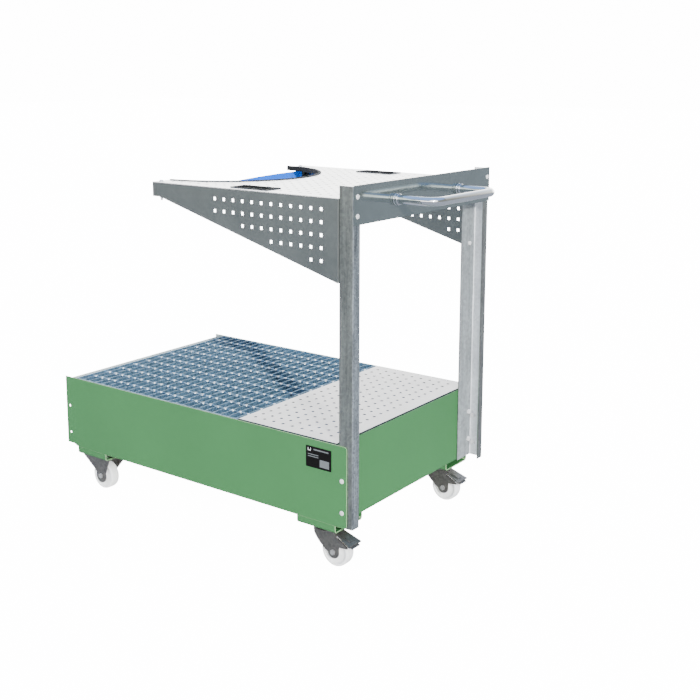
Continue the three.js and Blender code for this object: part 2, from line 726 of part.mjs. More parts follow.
function lashingStrap() {
  const steps = 24;
  const top = [];
  const bottom = [];
  for (let i = 0; i <= steps; i++) {
    const y = -STRAP_BOLT_Y + (2 * STRAP_BOLT_Y * i) / steps;
    top.push([y, strapTop(y)]);
    bottom.push([y, strapTop(y) - STRAP_WIDTH]);
  }
  const band = extrudeX(shapeOf([...bottom, ...top.reverse()]), STRAP_X, STRAP_X + STRAP_THICK);
  const loops = [-1, 1].map((side) => {
    const z0 = STRAP_TOP - STRAP_WIDTH;
    return rod("z", LOOP_OUTER, z0, STRAP_TOP, STRAP_BOLT_X, side * STRAP_BOLT_Y, 16);
  });
  const bores = [-1, 1].map((side) =>
    rod("z", LOOP_INNER + 0.2, STRAP_TOP - 60, STRAP_TOP + 20, STRAP_BOLT_X, side * STRAP_BOLT_Y, 16),
  );
  return cut(join(band, ...loops), ...bores);
}

function strapBuckle() {
  const top = strapTop(BUCKLE_Y) + 4;
  const bottom = top - STRAP_WIDTH - 8;
  const back = STRAP_X + STRAP_THICK + 4;
  const body = block(BUCKLE_FRONT, back, BUCKLE_Y - BUCKLE_HALF, BUCKLE_Y + BUCKLE_HALF, bottom, top);
  const slot = block(
    STRAP_X - GAP,
    STRAP_X + STRAP_THICK + GAP,
    BUCKLE_Y - BUCKLE_HALF - 5,
    BUCKLE_Y + BUCKLE_HALF + 5,
    bottom + 2,
    top - 2,
  );
  return cut(body, slot);
}

// The strap's loose end comes over the buckle's front and hangs down.
function strapTail() {
  const top = strapTop(BUCKLE_Y) - 5;
  const x = BUCKLE_FRONT - GAP;
  const half = STRAP_WIDTH / 2;
  return block(x - STRAP_THICK, x, BUCKLE_Y - half, BUCKLE_Y + half, top - TAIL_LENGTH, top);
}

addPart("lashing_strap", "strap", lashingStrap());
addPart("strap_buckle", "bright", strapBuckle());
addPart("strap_tail", "strap", strapTail());

// ---- fasteners ----
const PANEL_GRIP = SHEET + GAP + POST_SHEET;
const APRON_GRIP = APRON_SHEET + GAP + POST_SHEET;
const GUSSET_GRIP = SHELF_SHEET + GAP + POST_SHEET;
const STRAP_GRIP = ARM_DEPTH;

for (const [label, side] of [["near", -1], ["far", 1]]) {
  PANEL_HOLES_Z.forEach((z, i) => {
    const level = i === 0 ? "upper" : "lower";
    const piece = bolt(PANEL_GRIP, 2).rotateX(-side * Math.PI / 2);
    addPart(`panel_bolt_${label}_${level}`, "bright", piece.translate(PANEL_HOLES_X, side * HALF_WIDTH, z));
  });
  APRON_BOLT_Z.forEach((z, i) => {
    const level = i === 0 ? "lower" : "upper";
    const piece = bolt(APRON_GRIP, 2).rotateY(Math.PI / 2);
    const x = APRON_X + APRON_SHEET;
    addPart(`apron_bolt_${label}_${level}`, "bright", piece.translate(x, side * APRON_BOLT_Y, z));
  });
  GUSSET_BOLT_Z.forEach((z, i) => {
    const level = i === 0 ? "lower" : "upper";
    const piece = bolt(GUSSET_GRIP, 2).rotateY(-Math.PI / 2);
    const x = SHELF_REAR - SHELF_SHEET;
    addPart(`gusset_bolt_${label}_${level}`, "bright", piece.translate(x, side * GUSSET_BOLT_Y, z));
  });
  const strapBolt = bolt(STRAP_GRIP, 9).translate(STRAP_BOLT_X, side * STRAP_BOLT_Y, SHELF_TOP);
  addPart(`strap_bolt_${label}`, "bright", strapBolt);
}

// ---- castors ----
const CASTOR_TOP = FOOT_BOTTOM - GAP;
const PLATE = 4;
const LEG_GAP = 21.5; // from the wheel's middle to the inside of a fork leg
const LEG_SHEET = 3;
const AXLE_RADIUS = 6;
const HUB_HALF = 20;
const AXLE_Z = WHEEL_RADIUS;
const BRACKET_HALF_LENGTH = 70;
const BRACKET_HALF_WIDTH = 50;
const BRACKET_NOSE = 25; // radius round the axle
const BRACKET_SPREAD = 23; // how far each leg leans out between its bend and the plate
const BRACKET_BEND_Z = 62;

function wheel(x, y) {
  const half = WHEEL_WIDTH / 2;
  const profile = [
    [AXLE_RADIUS + 0.4, -HUB_HALF],
    [14, -HUB_HALF],
    [16, -12],
    [36, -11],
    [40, -half],
    [WHEEL_RADIUS - 3, -half],
    [WHEEL_RADIUS, -half + 5],
    [WHEEL_RADIUS, half - 5],
    [WHEEL_RADIUS - 3, half],
    [40, half],
    [36, 11],
    [16, 12],
    [14, HUB_HALF],
    [AXLE_RADIUS + 0.4, HUB_HALF],
    [AXLE_RADIUS + 0.4, -HUB_HALF],
  ].map(([r, h]) => new THREE.Vector2(r, h));
  return new THREE.LatheGeometry(profile, 24).translate(x, y, AXLE_Z);
}

function axle(x, y) {
  const reach = LEG_GAP + LEG_SHEET + GAP;
  const pin = rod("y", AXLE_RADIUS, y - reach - 1, y + reach + 1, x, AXLE_Z, 16);
  const head = rod("y", 9.5, y - reach - 6, y - reach, x, AXLE_Z, 6);
  const nut = rod("y", 9.5, y + reach, y + reach + 7, x, AXLE_Z, 6);
  return join(pin, head, nut);
}

function legs(outline, y, axleX) {
  const pieces = [-1, 1].map((side) => {
    const inner = y + side * LEG_GAP;
    const outer = inner + side * LEG_SHEET;
    return extrudeY(outline, Math.min(inner, outer), Math.max(inner, outer), 12);
  });
  return { pieces, bore: rod("y", AXLE_RADIUS + GAP, y - 40, y + 40, axleX, AXLE_Z, 16) };
}

// Two pressed legs, upright beside the wheel and leaning out above it, under a flat plate.
function fixedBracket(x, y) {
  const side = new THREE.Shape();
  const turn = 0.43; // where the straight edges meet the round nose, in radians above level
  const top = CASTOR_TOP - PLATE / 2;
  side.moveTo(x - BRACKET_HALF_LENGTH + 2, top);
  side.lineTo(x - BRACKET_HALF_LENGTH + 2, CASTOR_TOP - 8);
  side.absarc(x, AXLE_Z, BRACKET_NOSE, Math.PI - turn, 2 * Math.PI + turn, false);
  side.lineTo(x + BRACKET_HALF_LENGTH - 2, CASTOR_TOP - 8);
  side.lineTo(x + BRACKET_HALF_LENGTH - 2, top);
  side.closePath();
  const outline = toSolid(extrudeY(side, y - BRACKET_HALF_WIDTH, y + BRACKET_HALF_WIDTH, 12));
  const pressed = [-1, 1].map((hand) => {
    const inner = y + hand * LEG_GAP;
    const section = shapeOf([
      [inner, 0],
      [inner, BRACKET_BEND_Z],
      [inner + hand * BRACKET_SPREAD, top],
      [inner + hand * (BRACKET_SPREAD + LEG_SHEET), top],
      [inner + hand * LEG_SHEET, BRACKET_BEND_Z],
      [inner + hand * LEG_SHEET, 0],
    ]);
    const strip = extrudeX(section, x - BRACKET_HALF_LENGTH, x + BRACKET_HALF_LENGTH);
    return toGeometry(toSolid(strip).intersect(outline));
  });
  const plate = block(
    x - BRACKET_HALF_LENGTH,
    x + BRACKET_HALF_LENGTH,
    y - BRACKET_HALF_WIDTH,
    y + BRACKET_HALF_WIDTH,
    CASTOR_TOP - PLATE,
    CASTOR_TOP,
  );
  return cut(join(plate, ...pressed), rod("y", AXLE_RADIUS + GAP, y - 40, y + 40, x, AXLE_Z, 16));
}

const HEAD_CUP_RADIUS = 36;
const CROWN_TOP = CASTOR_TOP - 16;
const CROWN_SHEET = 4;
const CROWN_RADIUS = 40;
const KING_PIN_RADIUS = 7;
const HEAD_PLATE_HALF = [55, 50];

function swivelHead(y) {
  const x = SWIVEL_X;
  const plate = block(
    x - HEAD_PLATE_HALF[0],
    x + HEAD_PLATE_HALF[0],
    y - HEAD_PLATE_HALF[1],
    y + HEAD_PLATE_HALF[1],
    CASTOR_TOP - PLATE,
    CASTOR_TOP,
  );
  const cup = rod("z", HEAD_CUP_RADIUS, CROWN_TOP + GAP, CASTOR_TOP - 1, x, y, 24);
  const pin = rod("z", KING_PIN_RADIUS, CROWN_TOP - CROWN_SHEET - GAP - 4, CASTOR_TOP - 2, x, y, 16);
  const rivet = rod("z", KING_PIN_RADIUS + 5, CROWN_TOP - CROWN_SHEET - 5, CROWN_TOP - CROWN_SHEET - GAP, x, y, 16);
  return join(plate, cup, pin, rivet);
}

function swivelFork(y) {
  const axleX = SWIVEL_X + SWIVEL_TRAIL;
  const outline = new THREE.Shape();
  outline.moveTo(SWIVEL_X - CROWN_RADIUS, CROWN_TOP - 1);
  outline.lineTo(SWIVEL_X - CROWN_RADIUS + 2, CROWN_TOP - 20);
  outline.quadraticCurveTo(SWIVEL_X - 22, 68, axleX - 21, AXLE_Z - 4);
  outline.absarc(axleX, AXLE_Z, 21, Math.PI * 1.06, Math.PI * 1.98, false);
  outline.lineTo(axleX + 21, AXLE_Z + 20);
  outline.lineTo(axleX + 54, AXLE_Z + 22);
  outline.lineTo(axleX + 54, AXLE_Z + 26);
  outline.lineTo(axleX + 12, AXLE_Z + 50);
  outline.lineTo(axleX + 3, CROWN_TOP - 1);
  outline.closePath();
  const crown = rod("z", CROWN_RADIUS, CROWN_TOP - CROWN_SHEET, CROWN_TOP, SWIVEL_X, y, 24);
  const sides = legs(outline, y, axleX);
  const pinBore = rod("z", KING_PIN_RADIUS + GAP, CROWN_TOP - 20, CROWN_TOP + 5, SWIVEL_X, y, 16);
  return cut(join(crown, ...sides.pieces), sides.bore, pinBore);
}

// Brake pedal: a tread that widens towards its tip, with a raised middle, a release lever below the
// tip and a brake block between the fork's legs.
const PEDAL_HINGE = [560, 112];
const TREAD_TOP = -2; // of the tread's root, from the hinge
const TREAD_REACH = [-4, 53];
const TREAD_DROP = 26;
const TREAD_SHEET = 3;
const TREAD_HALF_WIDTH = [20, 32];

function brakePedal(y) {
  const [hingeX, hingeZ] = PEDAL_HINGE;
  const [root, tip] = TREAD_REACH;
  const treadZ = (reach) => hingeZ + TREAD_TOP - (TREAD_DROP * (reach - root)) / (tip - root);
  const layer = (from, to, above, below) =>
    shapeOf([
      [hingeX + from, treadZ(from) + above],
      [hingeX + from, treadZ(from) - below],
      [hingeX + to, treadZ(to) - below],
      [hingeX + to, treadZ(to) + above],
    ]);
  const brakeBlock = shapeOf([
    [hingeX + 10, hingeZ - 10],
    [hingeX + 10, hingeZ - 13.5],
    [hingeX + 24, hingeZ - 18.5],
    [hingeX + 38, hingeZ - 27.5],
    [hingeX + 38, hingeZ - 22.5],
  ]);
  const footprint = shapeOf([
    [hingeX + root - 1, y - TREAD_HALF_WIDTH[0]],
    [hingeX + tip + 1, y - TREAD_HALF_WIDTH[1]],
    [hingeX + tip + 1, y + TREAD_HALF_WIDTH[1]],
    [hingeX + root - 1, y + TREAD_HALF_WIDTH[0]],
  ]);
  const wide = toSolid(extrudeY(layer(root, tip, 0, TREAD_SHEET), y - 40, y + 40));
  const tread = toGeometry(wide.intersect(toSolid(extrudeZ(footprint, hingeZ - 60, hingeZ + 20))));
  const raised = extrudeY(layer(14, 42, 2.5, 1), y - 11, y + 11);
  const lever = extrudeY(layer(34, tip + 3, -5.5, 8.5), y - 20, y + 20);
  const web = extrudeY(layer(34, 38, -1, 8), y - 17, y + 17);
  return join(tread, raised, extrudeY(brakeBlock, y - 17, y + 17), web, lever);
}

for (const [label, side] of [["near", -1], ["far", 1]]) {
  const y = side * CASTOR_Y;
  addPart("fixed_bracket_" + label, "zinc", fixedBracket(FIXED_CASTOR_X, y));
  addPart("fixed_wheel_" + label, "polyamide", wheel(FIXED_CASTOR_X, y));
  addPart("fixed_axle_" + label, "bright", axle(FIXED_CASTOR_X, y));
  addPart("swivel_head_" + label, "zinc", swivelHead(y));
  addPart("swivel_fork_" + label, "zinc", swivelFork(y));
  addPart("swivel_wheel_" + label, "polyamide", wheel(SWIVEL_X + SWIVEL_TRAIL, y));
  addPart("swivel_axle_" + label, "bright", axle(SWIVEL_X + SWIVEL_TRAIL, y));
  addPart("brake_pedal_" + label, "zinc", brakePedal(y));
}

export default group;
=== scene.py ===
"""Looks of the mobile spill sump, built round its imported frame. Metres, in the frame's own axes:
+X towards the push handle, +Y to the far side, +Z up, castor wheels on Z = 0."""

import json
import math

import bmesh
import bpy
from mathutils import Matrix, Vector


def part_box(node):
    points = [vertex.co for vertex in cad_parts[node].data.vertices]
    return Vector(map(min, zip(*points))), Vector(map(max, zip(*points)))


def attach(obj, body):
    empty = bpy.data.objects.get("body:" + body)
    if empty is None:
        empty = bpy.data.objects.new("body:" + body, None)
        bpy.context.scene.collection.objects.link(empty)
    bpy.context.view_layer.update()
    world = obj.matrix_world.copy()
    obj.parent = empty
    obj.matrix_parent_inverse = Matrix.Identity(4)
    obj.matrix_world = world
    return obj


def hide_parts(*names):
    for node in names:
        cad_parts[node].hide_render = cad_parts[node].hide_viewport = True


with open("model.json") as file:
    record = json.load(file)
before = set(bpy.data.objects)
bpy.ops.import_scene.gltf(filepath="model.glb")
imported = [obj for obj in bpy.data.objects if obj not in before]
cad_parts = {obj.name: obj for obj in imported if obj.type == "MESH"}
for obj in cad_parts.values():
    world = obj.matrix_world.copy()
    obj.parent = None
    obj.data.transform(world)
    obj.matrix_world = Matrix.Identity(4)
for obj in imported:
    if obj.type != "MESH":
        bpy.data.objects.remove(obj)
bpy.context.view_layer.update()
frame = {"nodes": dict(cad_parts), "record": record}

SIDE_SIGN = {"near": -1, "far": 1}  # the sign of Y on each side
LEVELS = ("upper", "lower")
MM = 0.001
SAME_PLACE = 1e-6  # places nearer than this are one place

# ---- places taken from the frame ----
TUB_LOW, TUB_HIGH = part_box("sump_tub")
GRATING_LOW, GRATING_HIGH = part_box("grating")
DECK_LOW, DECK_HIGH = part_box("deck_plate")
SHELF_LOW, SHELF_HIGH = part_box("shelf_plate")
HANDLE_LOW, HANDLE_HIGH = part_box("push_handle")
TAIL_LOW, TAIL_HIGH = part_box("strap_tail")


def middle(low, high):
    return (low + high) / 2


# ---- camera ----
CAMERA_PLACE = Vector((2.32833, -2.80673, 1.50596))
CAMERA_AZIMUTH = -0.6228
CAMERA_DOWN = 0.1677
CAMERA_ROLL = 0.0052
CAMERA_LENS = 55.058
CAMERA_SHIFT = (-0.01616, -0.13943)


def add_camera():
    data = bpy.data.cameras.new("photo_camera")
    data.lens = CAMERA_LENS
    data.sensor_width = 36
    data.shift_x, data.shift_y = CAMERA_SHIFT
    data.clip_end = 100
    look = Vector(
        (
            math.sin(CAMERA_AZIMUTH) * math.cos(CAMERA_DOWN),
            math.cos(CAMERA_AZIMUTH) * math.cos(CAMERA_DOWN),
            -math.sin(CAMERA_DOWN),
        )
    )
    level = look.cross(Vector((0, 0, 1))).normalized()
    upright = level.cross(look)
    right = level * math.cos(CAMERA_ROLL) + upright * math.sin(CAMERA_ROLL)
    up = upright * math.cos(CAMERA_ROLL) - level * math.sin(CAMERA_ROLL)
    turn = Matrix((right, up, -look)).transposed().to_4x4()
    camera = bpy.data.objects.new("photo_camera", data)
    camera.matrix_world = Matrix.Translation(CAMERA_PLACE) @ turn
    bpy.context.scene.collection.objects.link(camera)
    bpy.context.scene.camera = camera


add_camera()


# ---- materials ----
def linear(rgb):
    """A colour given as it looks on a screen, 0 to 255, as the linear values a shader takes."""
    return [((c / 255 + 0.055) / 1.055) ** 2.4 if c > 10 else c / 255 / 12.92 for c in rgb] + [1.0]


class Nodes:
    """A material's node tree with short calls for what every material here uses."""

    def __init__(self, name):
        self.material = bpy.data.materials.new(name)
        self.material.use_nodes = True
        self.tree = self.material.node_tree
        self.shader = self.tree.nodes["Principled BSDF"]
        self.place = self.tree.nodes.new("ShaderNodeTexCoord").outputs["Object"]

    def node(self, kind, **settings):
        made = self.tree.nodes.new(kind)
        for key, value in settings.items():
            setattr(made, key, value)
        return made

    def link(self, output, target):
        self.tree.links.new(output, target)

    def stretched(self, scale):
        mapping = self.node("ShaderNodeMapping")
        mapping.inputs["Scale"].default_value = scale
        self.link(self.place, mapping.inputs["Vector"])
        return mapping.outputs["Vector"]

    def noise(self, scale, detail=3.0, roughness=0.5, stretch=None):
        made = self.node("ShaderNodeTexNoise")
        made.inputs["Scale"].default_value = scale
        made.inputs["Detail"].default_value = detail
        made.inputs["Roughness"].default_value = roughness
        self.link(self.stretched(stretch) if stretch else self.place, made.inputs["Vector"])
        return made.outputs["Fac"]

    def cells(self, scale):
        made = self.node("ShaderNodeTexVoronoi", feature="F1")
        made.inputs["Scale"].default_value = scale
        self.link(self.place, made.inputs["Vector"])
        return made.outputs["Color"]

    def spread(self, value, low, high, from_low=0.0, from_high=1.0):
        made = self.node("ShaderNodeMapRange")
        made.inputs["From Min"].default_value = from_low
        made.inputs["From Max"].default_value = from_high
        made.inputs["To Min"].default_value = low
        made.inputs["To Max"].default_value = high
        self.link(value, made.inputs["Value"])
        return made.outputs["Result"]

    def mix(self, factor, first, second):
        made = self.node("ShaderNodeMix", data_type="RGBA")
        self.link(factor, made.inputs[0])
        for value, socket in ((first, made.inputs[6]), (second, made.inputs[7])):
            if isinstance(value, list):
                socket.default_value = value
            else:
                self.link(value, socket)
        return made.outputs[2]

    def math(self, operation, first, second):
        made = self.node("ShaderNodeMath", operation=operation)
        for value, socket in ((first, made.inputs[0]), (second, made.inputs[1])):
            if isinstance(value, (int, float)):
                socket.default_value = value
            else:
                self.link(value, socket)
        return made.outputs[0]

    def colour(self, output):
        self.link(output, self.shader.inputs["Base Color"])

    def roughness(self, output):
        self.link(output, self.shader.inputs["Roughness"])

    def bump(self, height, strength, distance):
        made = self.node("ShaderNodeBump")
        made.inputs["Strength"].default_value = strength
        made.inputs["Distance"].default_value = distance
        self.link(height, made.inputs["Height"])
        self.link(made.outputs["Normal"], self.shader.inputs["Normal"])


def painted(name, rgb, pale_rim=None, pale_rim_from=0.0, shine=0.35):
    """Powder coat: faint orange peel, a slow drift of tone and, where asked for, a pale band painted along
    the inside of the front rim.
    """
    n = Nodes(name)
    n.shader.inputs["Metallic"].default_value = 0.0
    n.shader.inputs["Specular IOR Level"].default_value = shine
    drift = n.spread(n.noise(2.2, 4.0), 0.0, 1.0, 0.3, 0.7)
    coat = n.mix(drift, linear([c * 0.95 for c in rgb]), linear(rgb))
    if pale_rim:
        # a pale band painted along the inside of the front rim, above a given height
        split = n.node("ShaderNodeSeparateXYZ")
        n.link(n.place, split.inputs[0])
        high_up = n.spread(split.outputs["Z"], 0.0, 1.0, pale_rim_from - 2 * MM, pale_rim_from + 2 * MM)
        at_front = n.spread(split.outputs["X"], 1.0, 0.0, GRATING_LOW.x, GRATING_LOW.x + 4 * MM)
        pale_rim_band = n.math("MULTIPLY", high_up, at_front)
        coat = n.mix(pale_rim_band, coat, linear(pale_rim))
    n.colour(coat)
    n.roughness(n.spread(n.noise(9.0, 3.0), 0.42, 0.55))
    n.bump(n.noise(420.0, 2.0), 0.08, 0.0004)
    return n.material


def zinc(name, rgb, spangle=0.25, grain=60.0, rough=(0.32, 0.48), metallic=0.85, streak=0.0, ripple=0.12):
    """Galvanised or plated steel: crystal spangle, cloudy tone and, where asked for, drawn streaks."""
    n = Nodes(name)
    n.shader.inputs["Metallic"].default_value = metallic
    shade = n.spread(n.cells(grain), 1.0 - spangle, 1.0 + spangle * 0.4)
    cloud = n.spread(n.noise(7.0, 5.0, 0.6), 0.9, 1.08, 0.3, 0.7)
    level = n.math("MULTIPLY", shade, cloud)
    if streak:
        lines = n.noise(55.0, 4.0, 0.7, stretch=(1.0, 1.0, 0.08))
        level = n.math("MULTIPLY", level, n.spread(lines, 1.0 - streak, 1.0 + streak * 0.6, 0.35, 0.65))
    tint = n.node("ShaderNodeVectorMath", operation="SCALE")
    tint.inputs[0].default_value = linear(rgb)[:3]
    n.link(level, tint.inputs["Scale"])
    n.colour(tint.outputs["Vector"])
    n.roughness(n.spread(n.noise(30.0, 4.0), *rough))
    n.bump(n.noise(160.0, 3.0), ripple, 0.0004)
    return n.material


def polyamide(name, rgb):
    """Moulded nylon: a little light passes into it, with faint turning marks and floor dust."""
    n = Nodes(name)
    n.shader.inputs["Subsurface Weight"].default_value = 0.08
    n.shader.inputs["Subsurface Radius"].default_value = (0.004, 0.004, 0.003)
    n.shader.inputs["Subsurface Scale"].default_value = 0.5
    dust = n.spread(n.noise(25.0, 5.0, 0.65), 0.0, 0.35, 0.45, 0.7)
    n.colour(n.mix(dust, linear(rgb), linear([c * 0.86 for c in rgb])))
    n.roughness(n.spread(n.noise(60.0, 3.0), 0.38, 0.55))
    n.bump(n.noise(300.0, 2.0), 0.06, 0.0003)
    return n.material


def rubber(name, rgb):
    """Extruded edge trim: matt, finely grained and dusty in patches."""
    n = Nodes(name)
    n.shader.inputs["Specular IOR Level"].default_value = 0.3
    dust = n.spread(n.noise(45.0, 5.0, 0.7), 0.0, 0.5, 0.4, 0.75)
    n.colour(n.mix(dust, linear(rgb), linear([c + 26 for c in rgb])))
    n.roughness(n.spread(n.noise(80.0, 3.0), 0.6, 0.82))
    n.bump(n.noise(900.0, 2.0), 0.15, 0.0002)
    return n.material


def webbing(name, rgb, across):
    """Polyester webbing: ribs along the strap crossed by fine weft, from the place across it."""
    n = Nodes(name)
    n.shader.inputs["Sheen Weight"].default_value = 0.04
    n.shader.inputs["Sheen Roughness"].default_value = 0.5
    n.shader.inputs["Specular IOR Level"].default_value = 0.2
    ribs = n.node("ShaderNodeTexWave", wave_type="BANDS", bands_direction=across)
    ribs.inputs["Scale"].default_value = 140.0
    ribs.inputs["Distortion"].default_value = 0.4
    n.link(n.place, ribs.inputs["Vector"])
    weft = n.node("ShaderNodeTexWave", wave_type="BANDS", bands_direction="Y" if across == "Z" else "Z")
    weft.inputs["Scale"].default_value = 190.0
    n.link(n.place, weft.inputs["Vector"])
    cross = n.math("MULTIPLY", ribs.outputs["Fac"], weft.outputs["Fac"])
    fade = n.spread(n.noise(18.0, 4.0), 0.0, 0.25)
    tone = n.mix(n.spread(cross, 0.0, 0.45), linear(rgb), linear([c * 0.72 for c in rgb]))
    n.colour(n.mix(fade, tone, linear([min(c + 30, 255) for c in rgb])))
    n.roughness(n.spread(n.noise(90.0, 3.0), 0.7, 0.9))
    n.bump(cross, 0.5, 0.0006)
    return n.material


GREEN = painted("green_powder_coat", (54, 111, 62))
# pale green for the rounded edges: a painted highlight where the edges catch the light
GREEN_EDGE_HIGHLIGHT = painted("green_painted_edge_highlight", (176, 206, 158))
# blue inside, with a pale band painted along the inside of the front rim from 18 mm below its top
BLUE = painted("blue_inner_coat", (6, 76, 140), (196, 206, 208), TUB_HIGH.z - 18 * MM)
# pale blue for the rounded edges: a painted highlight where the edges catch the light
BLUE_EDGE_HIGHLIGHT = painted("blue_painted_edge_highlight", (150, 180, 196))
GALVANISED = zinc("galvanised_sheet", (146, 151, 147), 0.05, 90.0, (0.28, 0.36), 0.97, ripple=0.02)
ROUGH_GALVANISED = zinc("hot_dip_galvanised", (160, 164, 158), 0.22, 130.0, (0.26, 0.42), 0.96, 0.3)
MATT_GALVANISED = zinc("dull_galvanised", (158, 164, 166), 0.26, 110.0, (0.45, 0.6), 0.4, 0.2)
# near-white zinc for the posts' inner webs: painted light inside the channel
LIT_WEB_GALVANISED = zinc("painted_light_galvanised", (240, 243, 246), 0.14, 120.0, (0.4, 0.5), 0.1, 0.14)
LIP_GALVANISED = zinc("streaked_galvanised", (164, 172, 176), 0.4, 190.0, (0.22, 0.45), 0.8, 0.5)
APRON_METAL = zinc("bright_galvanised", (144, 153, 150), 0.03, 60.0, (0.08, 0.13), 0.9, ripple=0.01)
# the blue tint in this zinc is a painted reflection of the blue around the grating
GRATING_METAL = zinc("grating_zinc", (124, 162, 188), 0.6, 220.0, (0.25, 0.45), 0.7)
# near-white beads: the weld is real, its near-white colour is a painted highlight for the glint at each
# crossing
WELD_METAL = zinc("grating_weld", (246, 250, 250), 0.05, 200.0, (0.2, 0.35), 0.6)
DECK_METAL = zinc("pale_zinc_sheet", (200, 196, 192), 0.03, 70.0, (0.26, 0.36), 0.35)
SHELF_METAL = zinc("bright_zinc_sheet", (250, 249, 246), 0.02, 70.0, (0.2, 0.3), 0.6)
# near-black teal: raw cut steel darkened into painted shade, for hole walls and the deck's skirts
SHADED_CUT_STEEL = zinc("cut_edge_and_painted_shade", (10, 30, 32), 0.1, 200.0, (0.6, 0.8), 0.0)
CASTOR_METAL = zinc("castor_zinc", (124, 122, 120), 0.34, 150.0, (0.3, 0.5), 0.85)
BRIGHT = zinc("bright_zinc", (222, 224, 226), 0.02, 80.0, (0.05, 0.1), 1.0, ripple=0.01)
CASTOR_BOLT = zinc("castor_bolt_zinc", (190, 190, 190), 0.2, 200.0, (0.2, 0.4), 0.7)
BOLT_METAL = zinc("bolt_zinc", (238, 237, 237), 0.06, 200.0, (0.25, 0.4), 0.3)
NYLON = polyamide("white_polyamide", (248, 248, 247))
TRIM = rubber("edge_rubber", (16, 19, 19))
STRAP_CLOTH = webbing("blue_webbing", (0, 98, 222), "Z")
TAIL_CLOTH = webbing("blue_webbing_tail", (0, 98, 222), "Y")
PLATE_BLACK = painted("plate_black", (12, 11, 10), shine=0.12)
PLATE_GREY = painted("plate_grey", (96, 100, 102))
PLATE_WHITE = painted("plate_white", (214, 216, 216))

BODY_OF = {node: body for body, nodes in frame["record"]["behaviour"]["bodies"].items() for node in nodes}


# ---- making pieces ----
PANEL_EDGE = 1.0 * MM  # widths of rounded edges
FOLDED_EDGE = 0.8 * MM
APRON_EDGE = 0.7 * MM
SHEET_EDGE = 0.6 * MM
BEAM_EDGE = 0.5 * MM
FINE_EDGE = 0.4 * MM
LABEL_EDGE = 0.3 * MM
RUBBER_EDGE = 1.2 * MM
BUCKLE_EDGE = 1.4 * MM
ROUNDED_FROM = math.radians(30)  # edges sharper than this are rounded
JOINED_WITHIN = 0.02 * MM  # vertices of the CAD mesh nearer than this are one
FLAT_WITHIN = math.radians(0.8)  # faces that differ by less than this become one


def settle(piece):
    """Turns a piece with its modifiers into a plain mesh."""
    graph = bpy.context.evaluated_depsgraph_get()
    result = bpy.data.meshes.new_from_object(piece.evaluated_get(graph))
    piece.modifiers.clear()
    old = piece.data
    piece.data = result
    result.name = old.name
    bpy.data.meshes.remove(old)


def place_piece(name, mesh, body, materials, replaced=()):
    """Links a finished mesh as a piece that rides on a body and takes the place of some CAD nodes."""
    piece = bpy.data.objects.new(name, mesh)
    bpy.context.scene.collection.objects.link(piece)
    for material in materials:
        mesh.materials.append(material)
    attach(piece, body)
    if replaced:
        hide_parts(*replaced)
    return piece


def round_edges(piece, width, segments=2):
    bevel = piece.modifiers.new("rounded_edges", "BEVEL")
    bevel.width = width
    bevel.segments = segments
    bevel.limit_method = "ANGLE"
    bevel.angle_limit = ROUNDED_FROM
    bevel.use_clamp_overlap = True
    bevel.harden_normals = True
    return bevel


def smooth(mesh, angle=35):
    mesh.shade_smooth()
    mesh.set_sharp_from_angle(angle=math.radians(angle))


def from_bmesh(name, bm):
    mesh = bpy.data.meshes.new(name)
    bmesh.ops.recalc_face_normals(bm, faces=bm.faces)
    bm.to_mesh(mesh)
    bm.free()
    return mesh


def refined(node, materials, edge=SHEET_EDGE, segments=2, paint=None, smooth_angle=35, edge_material=-1):
    """Makes a piece with a CAD node's shape, clean faces, rounded edges and smooth shading.
    paint gives a face's material number from its centre and normal."""
    bm = bmesh.new()
    bm.from_mesh(frame["nodes"][node].data)
    bmesh.ops.remove_doubles(bm, verts=bm.verts, dist=JOINED_WITHIN)
    bmesh.ops.dissolve_limit(bm, angle_limit=FLAT_WITHIN, verts=bm.verts, edges=bm.edges)
    mesh = from_bmesh(node + "_fine", bm)
    piece = place_piece(node + "_fine", mesh, BODY_OF[node], materials, (node,))
    if paint:
        for face in mesh.polygons:
            face.material_index = paint(face.center, face.normal)
    smooth(mesh, smooth_angle)
    # the rounded edges take edge_material; on the painted parts that is a pale painted highlight
    round_edges(piece, edge, segments).material = edge_material


def add_block(bm, low, high):
    """A box between two corners."""
    corners = [(x, y, z) for x in (low[0], high[0]) for y in (low[1], high[1]) for z in (low[2], high[2])]
    v = [bm.verts.new(c) for c in corners]
    for quad in ((0, 1, 3, 2), (4, 6, 7, 5), (0, 4, 5, 1), (2, 3, 7, 6), (0, 2, 6, 4), (1, 5, 7, 3)):
        bm.faces.new([v[i] for i in quad])


def add_lathe(bm, profile, steps, turn):
    """Turns a closed profile of (radius, height) round +Z, then places it by a matrix."""
    rings = []
    for i in range(steps):
        angle = 2 * math.pi * i / steps
        places = [Vector((r * math.cos(angle), r * math.sin(angle), h)) for r, h in profile]
        rings.append([bm.verts.new(turn @ place) for place in places])
    count = len(profile)
    for i in range(steps):
        a, b = rings[i], rings[(i + 1) % steps]
        for j in range(count):
            k = (j + 1) % count
            bm.faces.new((a[j], b[j], b[k], a[k]))


def add_prism(bm, outline, thickness, turn):
    """A flat outline of (a, b) points in the XY plane, thick along +Z, placed by a matrix."""
    low = [bm.verts.new(turn @ Vector((a, b, 0))) for a, b in outline]
    high = [bm.verts.new(turn @ Vector((a, b, thickness))) for a, b in outline]
    bm.faces.new(list(reversed(low)))
    bm.faces.new(high)
    count = len(outline)
    for i in range(count):
        j = (i + 1) % count
        bm.faces.new((low[i], low[j], high[j], high[i]))


